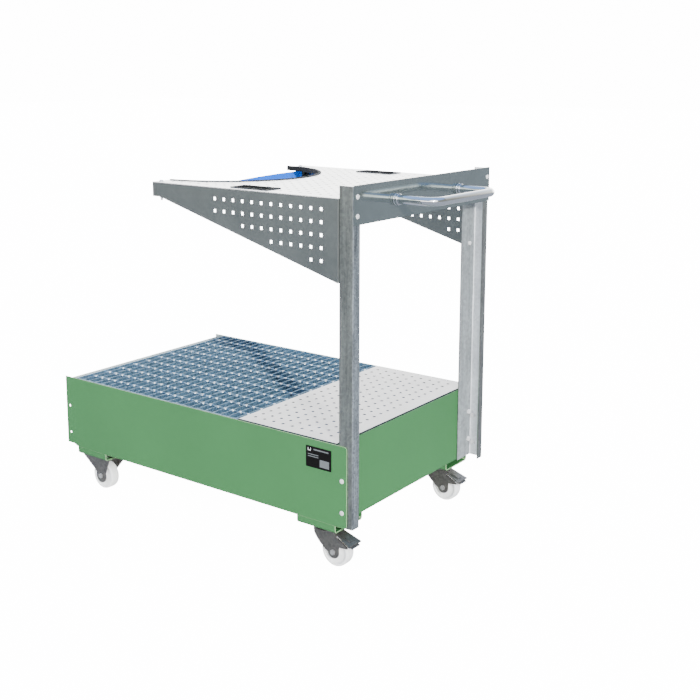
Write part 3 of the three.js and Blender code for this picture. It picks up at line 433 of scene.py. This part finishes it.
def sweep(bm, line, section):
    """Carries a closed section of (side, up) points along a level line of places."""
    rings = []
    for i, point in enumerate(line):
        before = line[max(i - 1, 0)]
        after = line[min(i + 1, len(line) - 1)]
        along = (after - before).normalized()
        side = along.cross(Vector((0, 0, 1))).normalized()
        top = side.cross(along)
        rings.append([bm.verts.new(point + side * a + top * b) for a, b in section])
    count = len(section)
    for a, b in zip(rings, rings[1:]):
        for j in range(count):
            k = (j + 1) % count
            bm.faces.new((a[j], a[k], b[k], b[j]))
    bm.faces.new(rings[0])
    bm.faces.new(list(reversed(rings[-1])))


# ---- the sump, with its coat ----
def inner_coat(panel_side):
    """Green outside, blue on the face that looks into the sump."""

    def paint(centre, normal):
        return 1 if normal.y * panel_side < -0.9 else 0

    return paint


def tub_coat(centre, normal):
    """Green outside and on the rim, blue on what looks into the sump."""
    middle_x = middle(TUB_LOW, TUB_HIGH).x
    faces_inwards = normal.x * (centre.x - middle_x) < -MM or normal.z > 0.3
    below_rim = centre.z < TUB_HIGH.z - MM
    return 1 if faces_inwards and below_rim else 0


# the pale edge coats here are painted highlights on the rounded edges
for label, side in SIDE_SIGN.items():
    coats = (GREEN, BLUE, GREEN_EDGE_HIGHLIGHT)
    refined("side_panel_" + label, coats, PANEL_EDGE, paint=inner_coat(side), edge_material=2)
    for foot in ("foot_channel_front_", "foot_channel_rear_"):
        refined(foot + label, (GREEN, GREEN_EDGE_HIGHLIGHT), FOLDED_EDGE, edge_material=1)
    refined("ledge_" + label, (BLUE, BLUE_EDGE_HIGHLIGHT), BEAM_EDGE, edge_material=1)
refined("sump_tub", (GREEN, BLUE), FOLDED_EDGE, paint=tub_coat, edge_material=0)
refined("cross_beam", (BLUE, BLUE_EDGE_HIGHLIGHT), BEAM_EDGE, edge_material=1)


# ---- the grating ----
BAR_PITCH = 33.33 * MM
FIRST_BAR = 28.7 * MM  # from the frame's outer face to the first bearing bar
BAR_THICK = 2.4 * MM
FRAME_BAR = 3 * MM
ROD_SPACES = 12  # spaces between the cross rods, frame to frame
ROD_SIZE = 5 * MM
ROD_STEPS = 92
ROD_TWIST_STEP = math.pi / 5
BAR_END_GAP = 2 * MM  # bars and rods stop this far inside the frame's outer face
BAR_RAISED = 1 * MM  # the bars' lower edge above the frame's
TOP_DROP = 0.2 * MM  # the bars' and rods' tops below the frame's


def bearing_bar_places():
    """The x of every bearing bar."""
    first = GRATING_LOW.x + FIRST_BAR
    count = int((GRATING_HIGH.x - FRAME_BAR - first) / BAR_PITCH)
    return [first + i * BAR_PITCH for i in range(count + 1)]


def cross_rod_places():
    """The y of every cross rod."""
    span = GRATING_HIGH.y - GRATING_LOW.y
    return [GRATING_LOW.y + span * i / ROD_SPACES for i in range(1, ROD_SPACES)]


def grating_mesh():
    bm = bmesh.new()
    low, high = GRATING_LOW, GRATING_HIGH
    for x in (low.x, high.x - FRAME_BAR):
        add_block(bm, (x, low.y, low.z), (x + FRAME_BAR, high.y, high.z))
    for y in (low.y, high.y - FRAME_BAR):
        add_block(bm, (low.x, y, low.z), (high.x, y + FRAME_BAR, high.z))
    half = BAR_THICK / 2
    for x in bearing_bar_places():
        near = (x - half, low.y + BAR_END_GAP, low.z + BAR_RAISED)
        far = (x + half, high.y - BAR_END_GAP, high.z - TOP_DROP)
        add_block(bm, near, far)
    return from_bmesh("grating_bars", bm)


def twisted_rods():
    """Cross rods of twisted square bar, pressed into the tops of the bearing bars."""
    bm = bmesh.new()
    low, high = GRATING_LOW, GRATING_HIGH
    half = ROD_SIZE / 2
    centre_z = high.z - half - TOP_DROP
    length = high.x - low.x - 2 * BAR_END_GAP
    for y in cross_rod_places():
        rings = []
        for k in range(ROD_STEPS + 1):
            x = low.x + BAR_END_GAP + length * k / ROD_STEPS
            angle = ROD_TWIST_STEP * k
            ring = []
            for corner in range(4):
                a = angle + corner * math.pi / 2
                ring.append(bm.verts.new((x, y + half * math.cos(a), centre_z + half * math.sin(a))))
            rings.append(ring)
        for a, b in zip(rings, rings[1:]):
            for j in range(4):
                bm.faces.new((a[j], a[(j + 1) % 4], b[(j + 1) % 4], b[j]))
        bm.faces.new(rings[0])
        bm.faces.new(list(reversed(rings[-1])))
    return from_bmesh("grating_rods", bm)


WELD_RADIUS = 6 * MM
WELD_SINK = 0.8 * MM  # from the grating's top down to the bead's middle
WELD_SIDES = 10
WELD_DOME = ((1.0, -0.5), (0.85, -0.12), (0.5, 0.1))  # shares of the radius: out and up


def weld_spots():
    """A small bead of zinc over each crossing of a bearing bar and a cross rod."""
    bm = bmesh.new()
    turns = [2 * math.pi * k / WELD_SIDES for k in range(WELD_SIDES)]
    for x in bearing_bar_places():
        for y in cross_rod_places():
            centre = Vector((x, y, GRATING_HIGH.z - WELD_SINK))
            rings = []
            for share, rise in WELD_DOME:
                radius = WELD_RADIUS * share
                up = WELD_RADIUS * rise
                flat = [Vector((radius * math.cos(a), radius * math.sin(a), up)) for a in turns]
                rings.append([bm.verts.new(centre + v) for v in flat])
            for lower, upper in zip(rings, rings[1:]):
                for k in range(WELD_SIDES):
                    m = (k + 1) % WELD_SIDES
                    bm.faces.new((lower[k], lower[m], upper[m], upper[k]))
            bm.faces.new(rings[-1])
            bm.faces.new(list(reversed(rings[0])))
    return from_bmesh("grating_welds", bm)


bars_mesh = grating_mesh()
grating_bars = place_piece("grating_bars", bars_mesh, "grating", (GRATING_METAL,), ("grating",))
smooth(bars_mesh)
round_edges(grating_bars, FINE_EDGE, 1)
rods_mesh = twisted_rods()
place_piece("grating_rods", rods_mesh, "grating", (GRATING_METAL,))
smooth(rods_mesh, 25)
welds_mesh = weld_spots()
place_piece("grating_welds", welds_mesh, "grating", (WELD_METAL,))
smooth(welds_mesh, 80)


# ---- perforated plates ----
RING = 16


def square_point(angle):
    """The point of a unit square's edge at an angle from its middle."""
    a, b = math.cos(angle), math.sin(angle)
    reach = max(abs(a), abs(b))
    return a / reach, b / reach


class PlateGrid:
    """Builds a flat plate of square cells, each with a round hole, with shared corners."""

    def __init__(self, height):
        self.bm = bmesh.new()
        self.known = {}
        self.height = height

    def vertex(self, x, y):
        key = (round(x * 1e6), round(y * 1e6))
        if key not in self.known:
            self.known[key] = self.bm.verts.new((x, y, self.height))
        return self.known[key]

    def holed_cell(self, x, y, half, radius):
        for i in range(RING):
            a = 2 * math.pi * i / RING
            b = 2 * math.pi * (i + 1) / RING
            ua, va = square_point(a)
            ub, vb = square_point(b)
            self.bm.faces.new(
                (
                    self.vertex(x + radius * math.cos(a), y + radius * math.sin(a)),
                    self.vertex(x + ua * half, y + va * half),
                    self.vertex(x + ub * half, y + vb * half),
                    self.vertex(x + radius * math.cos(b), y + radius * math.sin(b)),
                )
            )


def on_rectangle(co, rectangle):
    x0, x1, y0, y1 = rectangle
    on_x = abs(co.x - x0) < SAME_PLACE or abs(co.x - x1) < SAME_PLACE
    on_y = abs(co.y - y0) < SAME_PLACE or abs(co.y - y1) < SAME_PLACE
    return on_x or on_y


def pushed_out(value, inner, outer):
    """Moves a coordinate that lies on one of the inner limits to the matching outer limit."""
    if value <= inner[0] + SAME_PLACE:
        return outer[0]
    if value >= inner[1] - SAME_PLACE:
        return outer[1]
    return value


def border_strip(grid, inner, outer):
    """Fills between the cells' outer line and the plate's outline, both rectangles (x0, x1, y0, y1)."""
    middle_x = (inner[0] + inner[1]) / 2
    middle_y = (inner[2] + inner[3]) / 2
    edge = [v for v in grid.bm.verts if on_rectangle(v.co, inner)]
    ordered = sorted(edge, key=lambda v: math.atan2(v.co.y - middle_y, v.co.x - middle_x))
    scaled = []
    for v in ordered:
        x = pushed_out(v.co.x, inner[:2], outer[:2])
        y = pushed_out(v.co.y, inner[2:], outer[2:])
        scaled.append(grid.vertex(x, y))
    count = len(ordered)
    for i in range(count):
        j = (i + 1) % count
        grid.bm.faces.new((ordered[i], scaled[i], scaled[j], ordered[j]))


DECK_PITCH = 37.8 * MM
DECK_HOLE = 5.3 * MM
DECK_COLUMNS = 9
DECK_ROWS = 19
DECK_FIRST_COLUMN = 32.7 * MM  # from the plate's front edge
DECK_SHEET = 1.5 * MM
DECK_SIDE_GAP = 2.5 * MM
FOLD_RADIUS = 1.5 * MM
FOLD_STEPS = 5


def deck_mesh():
    low, high = DECK_LOW, DECK_HIGH
    grid = PlateGrid(high.z)
    half = DECK_PITCH / 2
    first_x = low.x + DECK_FIRST_COLUMN
    first_y = -DECK_PITCH * (DECK_ROWS - 1) / 2
    for column in range(DECK_COLUMNS):
        for row in range(DECK_ROWS):
            x = first_x + column * DECK_PITCH
            y = first_y + row * DECK_PITCH
            grid.holed_cell(x, y, half, DECK_HOLE)
    inner = (
        first_x - half,
        first_x + (DECK_COLUMNS - 0.5) * DECK_PITCH,
        first_y - half,
        -first_y + half,
    )
    inset = FOLD_RADIUS + DECK_SIDE_GAP
    outer = (low.x + FOLD_RADIUS, high.x - FOLD_RADIUS, low.y + inset, high.y - inset)
    border_strip(grid, inner, outer)
    fold_down(grid, outer, low)
    return from_bmesh("deck_plate_fine", grid.bm)


def fold_down(grid, outer, low):
    """Carries the four outer edges round a small bend and down as a skirt.
    A later side also takes up the corners of the skirts made before it and folds them down again,
    which leaves loose flaps below the plate's corners."""
    bm = grid.bm
    x0, x1, y0, y1 = outer
    for axis, value, way in ((0, x0, -1), (0, x1, 1), (1, y0, -1), (1, y1, 1)):
        on_side = [v for v in bm.verts if abs(v.co[axis] - value) < SAME_PLACE]
        edge = sorted(on_side, key=lambda v: v.co[1 - axis])
        out = Vector((0, 0, 0))
        out[axis] = way
        rings = [edge]
        for k in range(1, FOLD_STEPS + 1):
            angle = math.pi / 2 * k / FOLD_STEPS
            sink = FOLD_RADIUS * (1 - math.cos(angle))
            shift = out * FOLD_RADIUS * math.sin(angle) - Vector((0, 0, sink))
            rings.append([bm.verts.new(v.co + shift) for v in edge])
        drop = Vector((0, 0, grid.height - FOLD_RADIUS - low.z))
        rings.append([bm.verts.new(v.co - drop) for v in rings[-1]])
        for upper, lower in zip(rings, rings[1:]):
            for i in range(len(edge) - 1):
                bm.faces.new((upper[i], upper[i + 1], lower[i + 1], lower[i]))


deck_fine_mesh = deck_mesh()
deck_coats = (DECK_METAL, SHADED_CUT_STEEL)
deck_fine = place_piece("deck_plate_fine", deck_fine_mesh, "deck_plate", deck_coats, ("deck_plate",))
deck_sheet = deck_fine.modifiers.new("sheet", "SOLIDIFY")
deck_sheet.thickness = DECK_SHEET
deck_sheet.offset = -1
deck_sheet.material_offset_rim = 1
settle(deck_fine)
# the skirts and hole walls take the near-black coat: painted shade in the gap beside the panels and down
# the holes
for face in deck_fine.data.polygons:
    if abs(face.normal.z) < 0.5:
        face.material_index = 1
smooth(deck_fine.data, 25)
steady = deck_fine.modifiers.new("steady_normals", "WEIGHTED_NORMAL")
steady.keep_sharp = True


# ---- the shelf ----
SHELF_PITCH = 38 * MM
SHELF_HOLE = 5 * MM
SHELF_HOLE_X = (MM * 116.2, MM * 534.2)  # first and last column, from the sump's middle
SUMP_MIDDLE = middle(TUB_LOW, TUB_HIGH).x
CUTOUT_CENTRE = SUMP_MIDDLE - 173 * MM
CUTOUT_RADIUS = 314.8 * MM
SLOT_LENGTH = (SUMP_MIDDLE + 166 * MM, SUMP_MIDDLE + 302 * MM)
SLOT_WIDTH = (302 * MM, 360 * MM)
SHELF_ROWS = 9  # rows on each side of the middle one, and columns before the first
OPENING_MARGIN = 16 * MM  # no hole's centre is nearer to an opening than this
FRONT_MARGIN = 30 * MM
CUTTER_REACH = 6 * MM  # how far a hole's cutter runs above and below the shelf's top


def bored(piece, name, cutters):
    """Cuts a group of closed shapes out of a piece and keeps the result as its mesh."""
    mesh = bpy.data.meshes.new(name)
    cutters.to_mesh(mesh)
    cutters.free()
    tool = bpy.data.objects.new(name, mesh)
    bpy.context.scene.collection.objects.link(tool)
    cut = piece.modifiers.new("cut", "BOOLEAN")
    cut.operation = "DIFFERENCE"
    cut.solver = "EXACT"
    cut.object = tool
    settle(piece)
    bpy.data.objects.remove(tool)
    bpy.data.meshes.remove(mesh)


def shelf_piece():
    """The CAD shelf with its round holes cut and their walls given the near-black coat, cut edge and
    painted shade in one.
    """
    bm = bmesh.new()
    bm.from_mesh(frame["nodes"]["shelf_plate"].data)
    bmesh.ops.remove_doubles(bm, verts=bm.verts, dist=JOINED_WITHIN)
    mesh = from_bmesh("shelf_plate_fine", bm)
    piece = place_piece("shelf_plate_fine", mesh, "base", (SHELF_METAL, SHADED_CUT_STEEL), ("shelf_plate",))
    holes = bmesh.new()
    columns = round((SHELF_HOLE_X[1] - SHELF_HOLE_X[0]) / SHELF_PITCH)
    turns = [2 * math.pi * i / RING for i in range(RING)]
    base = Matrix.Translation((0, 0, SHELF_HIGH.z - CUTTER_REACH))
    for column in range(-SHELF_ROWS, columns + 1):
        x = SUMP_MIDDLE + SHELF_HOLE_X[0] + column * SHELF_PITCH
        for row in range(-SHELF_ROWS, SHELF_ROWS + 1):
            y = row * SHELF_PITCH
            if clear_of_openings(x, y):
                ring = [(x + SHELF_HOLE * math.cos(a), y + SHELF_HOLE * math.sin(a)) for a in turns]
                add_prism(holes, ring, 2 * CUTTER_REACH, base)
    bored(piece, "shelf_holes", holes)
    for face in piece.data.polygons:
        face.material_index = 1 if abs(face.normal.z) < 0.5 and in_shelf_hole(face.center) else 0
    return piece


def in_shelf_hole(place):
    """Whether a face of the holed shelf is part of a hole's wall."""
    column = (place.x - SUMP_MIDDLE - SHELF_HOLE_X[0]) / SHELF_PITCH
    row = place.y / SHELF_PITCH
    away = math.hypot(column - round(column), row - round(row)) * SHELF_PITCH
    return away < SHELF_HOLE * 1.02 and SHELF_LOW.x + 0.02 < place.x < SHELF_HIGH.x - 0.01


def clear_of_openings(x, y):
    """Whether a hole fits here beside the cutout, the hand slots and the front edge."""
    margin = OPENING_MARGIN
    if math.hypot(x - CUTOUT_CENTRE, y) < CUTOUT_RADIUS + margin:
        return False
    in_slot_x = SLOT_LENGTH[0] - margin < x < SLOT_LENGTH[1] + margin
    in_slot_y = SLOT_WIDTH[0] - margin < abs(y) < SLOT_WIDTH[1] + margin
    if in_slot_x and in_slot_y:
        return False
    return x > SHELF_LOW.x + FRONT_MARGIN


shelf_fine = shelf_piece()
smooth(shelf_fine.data, 35)
for label in SIDE_SIGN:
    refined("gusset_" + label, (GALVANISED,), FINE_EDGE)
    refined("slot_trim_" + label, (TRIM,), RUBBER_EDGE, 3)
refined("cutout_trim", (TRIM,), RUBBER_EDGE, 3)


# ---- posts and apron ----
POST_SHEET = 3 * MM
POST_LOOK = 20 * MM  # how far out from a face its surroundings are judged


def channel_coat(low, high):
    """Rough zinc outside, lip zinc on the lip's rear face; inside, a near-white coat on the web as painted
    light, dull on the flange.
    """
    outer = max(abs(low.y), abs(high.y))

    def paint(centre, normal):
        x = centre.x + normal.x * POST_LOOK
        y = abs(centre.y + normal.y * POST_LOOK)
        if not (low.x + POST_SHEET < x < high.x - POST_SHEET and y < outer - POST_SHEET):
            return 3 if normal.x > 0.5 and centre.x > high.x - POST_SHEET else 0
        # inner web faces take the near-white painted light
        return 2 if abs(normal.y) > 0.5 else 1

    return paint


for label in SIDE_SIGN:
    lip = LIP_GALVANISED if label == "near" else ROUGH_GALVANISED
    coats = (ROUGH_GALVANISED, MATT_GALVANISED, LIT_WEB_GALVANISED, lip)
    refined("post_" + label, coats, paint=channel_coat(*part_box("post_" + label)))
refined("apron_plate", (APRON_METAL,), APRON_EDGE)


# ---- the push handle ----
HANDLE_RADIUS = (HANDLE_HIGH.z - HANDLE_LOW.z) / 2
HANDLE_BEND = 42 * MM
HANDLE_STRAIGHT = 30 * MM  # a first straight length at each leg
HANDLE_SIDES = 32
BEND_STEPS = 18


def bend(centre, start, end, height):
    """Places round one of the handle's bends, from one angle to another."""
    points = []
    for i in range(BEND_STEPS + 1):
        angle = start + (end - start) * i / BEND_STEPS
        x = centre[0] + HANDLE_BEND * math.cos(angle)
        y = centre[1] + HANDLE_BEND * math.sin(angle)
        points.append(Vector((x, y, height)))
    return points


def handle_mesh():
    bm = bmesh.new()
    height = middle(HANDLE_LOW, HANDLE_HIGH).z
    leg = HANDLE_HIGH.y - HANDLE_RADIUS
    bend_x = HANDLE_HIGH.x - HANDLE_RADIUS - HANDLE_BEND
    bend_y = leg - HANDLE_BEND
    straight_end = HANDLE_LOW.x + HANDLE_STRAIGHT
    line = [Vector((HANDLE_LOW.x, -leg, height)), Vector((straight_end, -leg, height))]
    line += bend((bend_x, -bend_y), -math.pi / 2, 0, height)
    line += [Vector((HANDLE_HIGH.x - HANDLE_RADIUS, 0, height))]
    line += bend((bend_x, bend_y), 0, math.pi / 2, height)
    line += [Vector((straight_end, leg, height)), Vector((HANDLE_LOW.x, leg, height))]
    turns = [2 * math.pi * i / HANDLE_SIDES for i in range(HANDLE_SIDES)]
    section = [(HANDLE_RADIUS * math.cos(a), HANDLE_RADIUS * math.sin(a)) for a in turns]
    sweep(bm, line, section)
    return from_bmesh("push_handle_fine", bm)


handle_fine_mesh = handle_mesh()
place_piece("push_handle_fine", handle_fine_mesh, "base", (BRIGHT,), ("push_handle",))
smooth(handle_fine_mesh, 50)
for label in SIDE_SIGN:
    refined("handle_collar_" + label, (BRIGHT,), FOLDED_EDGE, 3)


# ---- castors ----
WHEEL_STEPS = 72


def wheel_profile():
    """A polyamide wheel's section in mm, closed, as (radius, height) with the bore inside."""
    half = [
        (6.4, -20), (13, -20), (14.5, -19), (15.5, -13), (18, -11.2), (33, -10.2), (37.5, -11.5),
        (40, -15.5), (42, -17), (46, -17), (48.6, -15.6), (49.7, -12.5), (50, -9),
    ]
    return half + [(radius, -height) for radius, height in reversed(half)]


def wheel_piece(node):
    low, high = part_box(node)
    bm = bmesh.new()
    turn = Matrix.Translation(middle(low, high)) @ Matrix.Rotation(math.pi / 2, 4, "X")
    add_lathe(bm, [(r * MM, h * MM) for r, h in wheel_profile()], WHEEL_STEPS, turn)
    mesh = from_bmesh(node + "_fine", bm)
    place_piece(node + "_fine", mesh, BODY_OF[node], (NYLON,), (node,))
    smooth(mesh, 40)


for label in SIDE_SIGN:
    wheel_piece("fixed_wheel_" + label)
    wheel_piece("swivel_wheel_" + label)
    for node in ("fixed_bracket_", "swivel_head_", "swivel_fork_", "brake_pedal_"):
        refined(node + label, (CASTOR_METAL,), FOLDED_EDGE, smooth_angle=30)
    for node in ("fixed_axle_", "swivel_axle_"):
        refined(node + label, (CASTOR_BOLT,), smooth_angle=30)

# ---- bolts ----
for label in SIDE_SIGN:
    for kind in ("panel_bolt_", "apron_bolt_", "gusset_bolt_"):
        for level in LEVELS:
            refined(f"{kind}{label}_{level}", (BOLT_METAL,), FINE_EDGE, smooth_angle=40)
    refined("strap_bolt_" + label, (BOLT_METAL,), FINE_EDGE, smooth_angle=40)

NUT_RADIUS = 9 * MM
NUT_THICK = 6 * MM
FLANGE_BOLT_INSET = 15 * MM
FLANGE_BOLT_RISE = 14 * MM


def post_nuts(label, side):
    """The hexagons inside a post: on the web behind the panel's bolts, and on the flange."""
    post_low, post_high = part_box("post_" + label)
    web = side * (max(abs(post_low.y), abs(post_high.y)) - POST_SHEET)
    flange = post_low.x + POST_SHEET
    turns = [math.pi * k / 3 for k in range(6)]
    hexagon = [(NUT_RADIUS * math.cos(a), NUT_RADIUS * math.sin(a)) for a in turns]
    across_web = Matrix.Rotation(side * math.pi / 2, 4, "X")
    out_of_flange = Matrix.Rotation(math.pi / 2, 4, "Y")
    bm = bmesh.new()
    for level in LEVELS:
        centre = middle(*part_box(f"panel_bolt_{label}_{level}"))
        add_prism(bm, hexagon, NUT_THICK, Matrix.Translation((centre.x, web, centre.z)) @ across_web)
        inwards = web - side * FLANGE_BOLT_INSET
        place = Matrix.Translation((flange, inwards, centre.z + FLANGE_BOLT_RISE))
        add_prism(bm, hexagon, NUT_THICK, place @ out_of_flange)
    mesh = from_bmesh("post_nuts_" + label, bm)
    round_edges(place_piece("post_nuts_" + label, mesh, "base", (BOLT_METAL,)), FOLDED_EDGE)


for label, side in SIDE_SIGN.items():
    post_nuts(label, side)

# ---- the strap, its buckle and its tail ----
refined("lashing_strap", (STRAP_CLOTH,), FINE_EDGE)
refined("strap_buckle", (BRIGHT,), BUCKLE_EDGE, 3)

TAIL_THICK = 1.6 * MM
TAIL_THIN_EDGE = 0.6  # the selvedge's thickness as a share of the middle's
TAIL_ACROSS = 12
TAIL_STEPS = 24
TAIL_END_GAP = 0.2 * MM  # kept clear at each end


def tail_line():
    """Places down the middle of the hanging tail."""
    centre = middle(TAIL_LOW, TAIL_HIGH)
    top = TAIL_HIGH.z - TAIL_END_GAP
    span = TAIL_HIGH.z - TAIL_LOW.z - 2 * TAIL_END_GAP
    return [Vector((centre.x, centre.y, top - span * i / TAIL_STEPS)) for i in range(TAIL_STEPS + 1)]


def tail_mesh(line):
    bm = bmesh.new()
    width = TAIL_HIGH.y - TAIL_LOW.y
    rings = []
    for point in line:
        front = []
        back = []
        for i in range(TAIL_ACROSS + 1):
            y = point.y + width * (i / TAIL_ACROSS - 0.5)
            swell = TAIL_THICK / 2 * (1 if 0 < i < TAIL_ACROSS else TAIL_THIN_EDGE)
            front.append(bm.verts.new((point.x - swell, y, point.z)))
            back.append(bm.verts.new((point.x + swell, y, point.z)))
        rings.append(front + list(reversed(back)))
    count = len(rings[0])
    for a, b in zip(rings, rings[1:]):
        for j in range(count):
            k = (j + 1) % count
            bm.faces.new((a[j], a[k], b[k], b[j]))
    bm.faces.new(rings[0])
    bm.faces.new(list(reversed(rings[-1])))
    return from_bmesh("strap_tail_fine", bm)


tail_points = tail_line()
tail_fine_mesh = tail_mesh(tail_points)
tail_fine = place_piece("strap_tail_fine", tail_fine_mesh, "base", (TAIL_CLOTH,), ("strap_tail",))
smooth(tail_fine_mesh, 40)

# ---- the small plate on the near panel ----
PLATE_LOW, PLATE_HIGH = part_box("rating_plate")
refined("rating_plate", (PLATE_BLACK,), LABEL_EDGE, 1)
MARK_FRONT = 0.25 * MM  # how far the blocks stand proud of the plate
MARK_BACK = 0.02 * MM
PLATE_BARS = ((0.3, 0.9, 0.84, 0.9), (0.08, 0.5, 0.6, 0.64), (0.08, 0.5, 0.5, 0.54))
PLATE_TABLE = ((0.55, 0.92, 0.1, 0.45),)
# Together these three read as a U, which is an open fault.
PLATE_CORNER = ((0.08, 0.1, 0.8, 0.92), (0.08, 0.2, 0.78, 0.81), (0.18, 0.2, 0.8, 0.92))


def plate_marks(name, rectangles, material):
    """Thin raised blocks on the plate's face; each is (left, right, bottom, top) as shares of the plate."""
    bm = bmesh.new()
    width = PLATE_HIGH.x - PLATE_LOW.x
    height = PLATE_HIGH.z - PLATE_LOW.z
    for left, right, bottom, top in rectangles:
        add_block(
            bm,
            (PLATE_LOW.x + left * width, PLATE_LOW.y - MARK_FRONT, PLATE_LOW.z + bottom * height),
            (PLATE_LOW.x + right * width, PLATE_LOW.y - MARK_BACK, PLATE_LOW.z + top * height),
        )
    place_piece(name, from_bmesh(name, bm), "base", (material,))


plate_marks("plate_bars", PLATE_BARS, PLATE_GREY)
plate_marks("plate_table", PLATE_TABLE, PLATE_GREY)
plate_marks("plate_mark", PLATE_CORNER, PLATE_WHITE)


# ---- floor and light ----
BEHIND = (math.sin(CAMERA_AZIMUTH), math.cos(CAMERA_AZIMUTH), 0.0)  # level, away from the camera
KEY_FROM = Vector((0.755, -0.521, 0.397)).normalized()
KEY_POWER = 5.0
KEY_SPREAD = 1.6  # degrees; sets how soft the shadows' edges are
ROOM_DARK = (0.36, 0.37, 0.33, 1)  # the unlit side of the studio, round the camera
ROOM_BACKDROP = (7.5, 7.4, 7.2, 1)  # the lit backdrop, near the floor
ROOM_HIGH = (2.2, 2.4, 2.6, 1)  # the lit backdrop, higher up
ROOM_TOP = (0.5, 0.78, 1.35, 1)
ROOM_KEY = (4.5, 4.5, 4.4, 1)  # the softbox round the key light
ROOM_BAND = (6.5, 6.5, 6.4, 1)  # a long softbox on the near side, a little above the floor
BAND_FROM = Vector((-0.2, -0.95, 0.27)).normalized()
FLOOR_REACH = 40
FLOOR_BOUNCE = 1.5  # light the white floor throws up under the object
SEEN_WHITE = (15.0, 15.0, 15.0, 1)  # what the camera itself sees as the background


def add_floor():
    """A floor that looks white to the camera and throws a little light up under the object."""
    bm = bmesh.new()
    corners = ((-1, -1), (1, -1), (1, 1), (-1, 1))
    bm.faces.new([bm.verts.new((x * FLOOR_REACH, y * FLOOR_REACH, 0)) for x, y in corners])
    mesh = bpy.data.meshes.new("studio_floor")
    bm.to_mesh(mesh)
    bm.free()
    floor = bpy.data.objects.new("studio_floor", mesh)
    bpy.context.scene.collection.objects.link(floor)
    n = Nodes("studio_white")
    n.shader.inputs["Base Color"].default_value = (0.3, 0.3, 0.3, 1)
    n.shader.inputs["Roughness"].default_value = 0.9
    n.shader.inputs["Specular IOR Level"].default_value = 0.0
    n.shader.inputs["Emission Color"].default_value = (1, 1, 1, 1)
    ray = n.node("ShaderNodeLightPath")
    seen = n.math("MULTIPLY", ray.outputs["Is Camera Ray"], SEEN_WHITE[0])
    bounced = n.math("MULTIPLY", ray.outputs["Is Diffuse Ray"], FLOOR_BOUNCE)
    n.link(n.math("ADD", seen, bounced), n.shader.inputs["Emission Strength"])
    mesh.materials.append(n.material)


def add_key():
    data = bpy.data.lights.new("key", "SUN")
    data.energy = KEY_POWER
    data.angle = math.radians(KEY_SPREAD)
    lamp = bpy.data.objects.new("key", data)
    lamp.rotation_euler = KEY_FROM.to_track_quat("Z", "Y").to_euler()
    bpy.context.scene.collection.objects.link(lamp)


def add_world():
    """A studio lit from behind the object: bright backdrop, dim room on the camera's side."""
    world = bpy.data.worlds.new("studio")
    bpy.context.scene.world = world
    world.use_nodes = True
    tree = world.node_tree
    background = tree.nodes["Background"]

    def share(value, from_low, from_high):
        """How far a value has come from one limit to the other, eased at both ends."""
        made = tree.nodes.new("ShaderNodeMapRange")
        made.interpolation_type = "SMOOTHSTEP"
        made.inputs["From Min"].default_value = from_low
        made.inputs["From Max"].default_value = from_high
        tree.links.new(value, made.inputs["Value"])
        return made.outputs["Result"]

    def blend(factor, first, second):
        made = tree.nodes.new("ShaderNodeMix")
        made.data_type = "RGBA"
        tree.links.new(factor, made.inputs[0])
        for value, socket in ((first, made.inputs[6]), (second, made.inputs[7])):
            if isinstance(value, tuple):
                socket.default_value = value
            else:
                tree.links.new(value, socket)
        return made.outputs[2]

    def both(first, second):
        made = tree.nodes.new("ShaderNodeMath")
        made.operation = "MULTIPLY"
        tree.links.new(first, made.inputs[0])
        tree.links.new(second, made.inputs[1])
        return made.outputs[0]

    way = tree.nodes.new("ShaderNodeTexCoord").outputs["Generated"]
    split = tree.nodes.new("ShaderNodeSeparateXYZ")
    tree.links.new(way, split.inputs[0])
    height = split.outputs["Z"]

    def towards(direction):
        """How nearly a way out of the scene points along a direction, 1 at most."""
        dot = tree.nodes.new("ShaderNodeVectorMath")
        dot.operation = "DOT_PRODUCT"
        tree.links.new(way, dot.inputs[0])
        dot.inputs[1].default_value = direction
        return dot.outputs["Value"]

    backdrop = blend(share(height, 0.15, 0.5), ROOM_BACKDROP, ROOM_HIGH)
    round_room = blend(share(towards(BEHIND), 0.35, 0.85), ROOM_DARK, backdrop)
    open_room = blend(share(height, 0.42, 0.72), round_room, ROOM_TOP)
    keyed_room = blend(share(towards(KEY_FROM), 0.88, 0.97), open_room, ROOM_KEY)
    beside = share(towards(BAND_FROM), 0.5, 0.75)
    above = share(height, 0.16, 0.22)
    below = share(height, 0.4, 0.33)
    band = both(both(beside, above), below)
    room = blend(band, keyed_room, ROOM_BAND)
    seen = tree.nodes.new("ShaderNodeLightPath").outputs["Is Camera Ray"]
    tree.links.new(blend(seen, room, SEEN_WHITE), background.inputs["Color"])


add_floor()
add_world()
add_key()
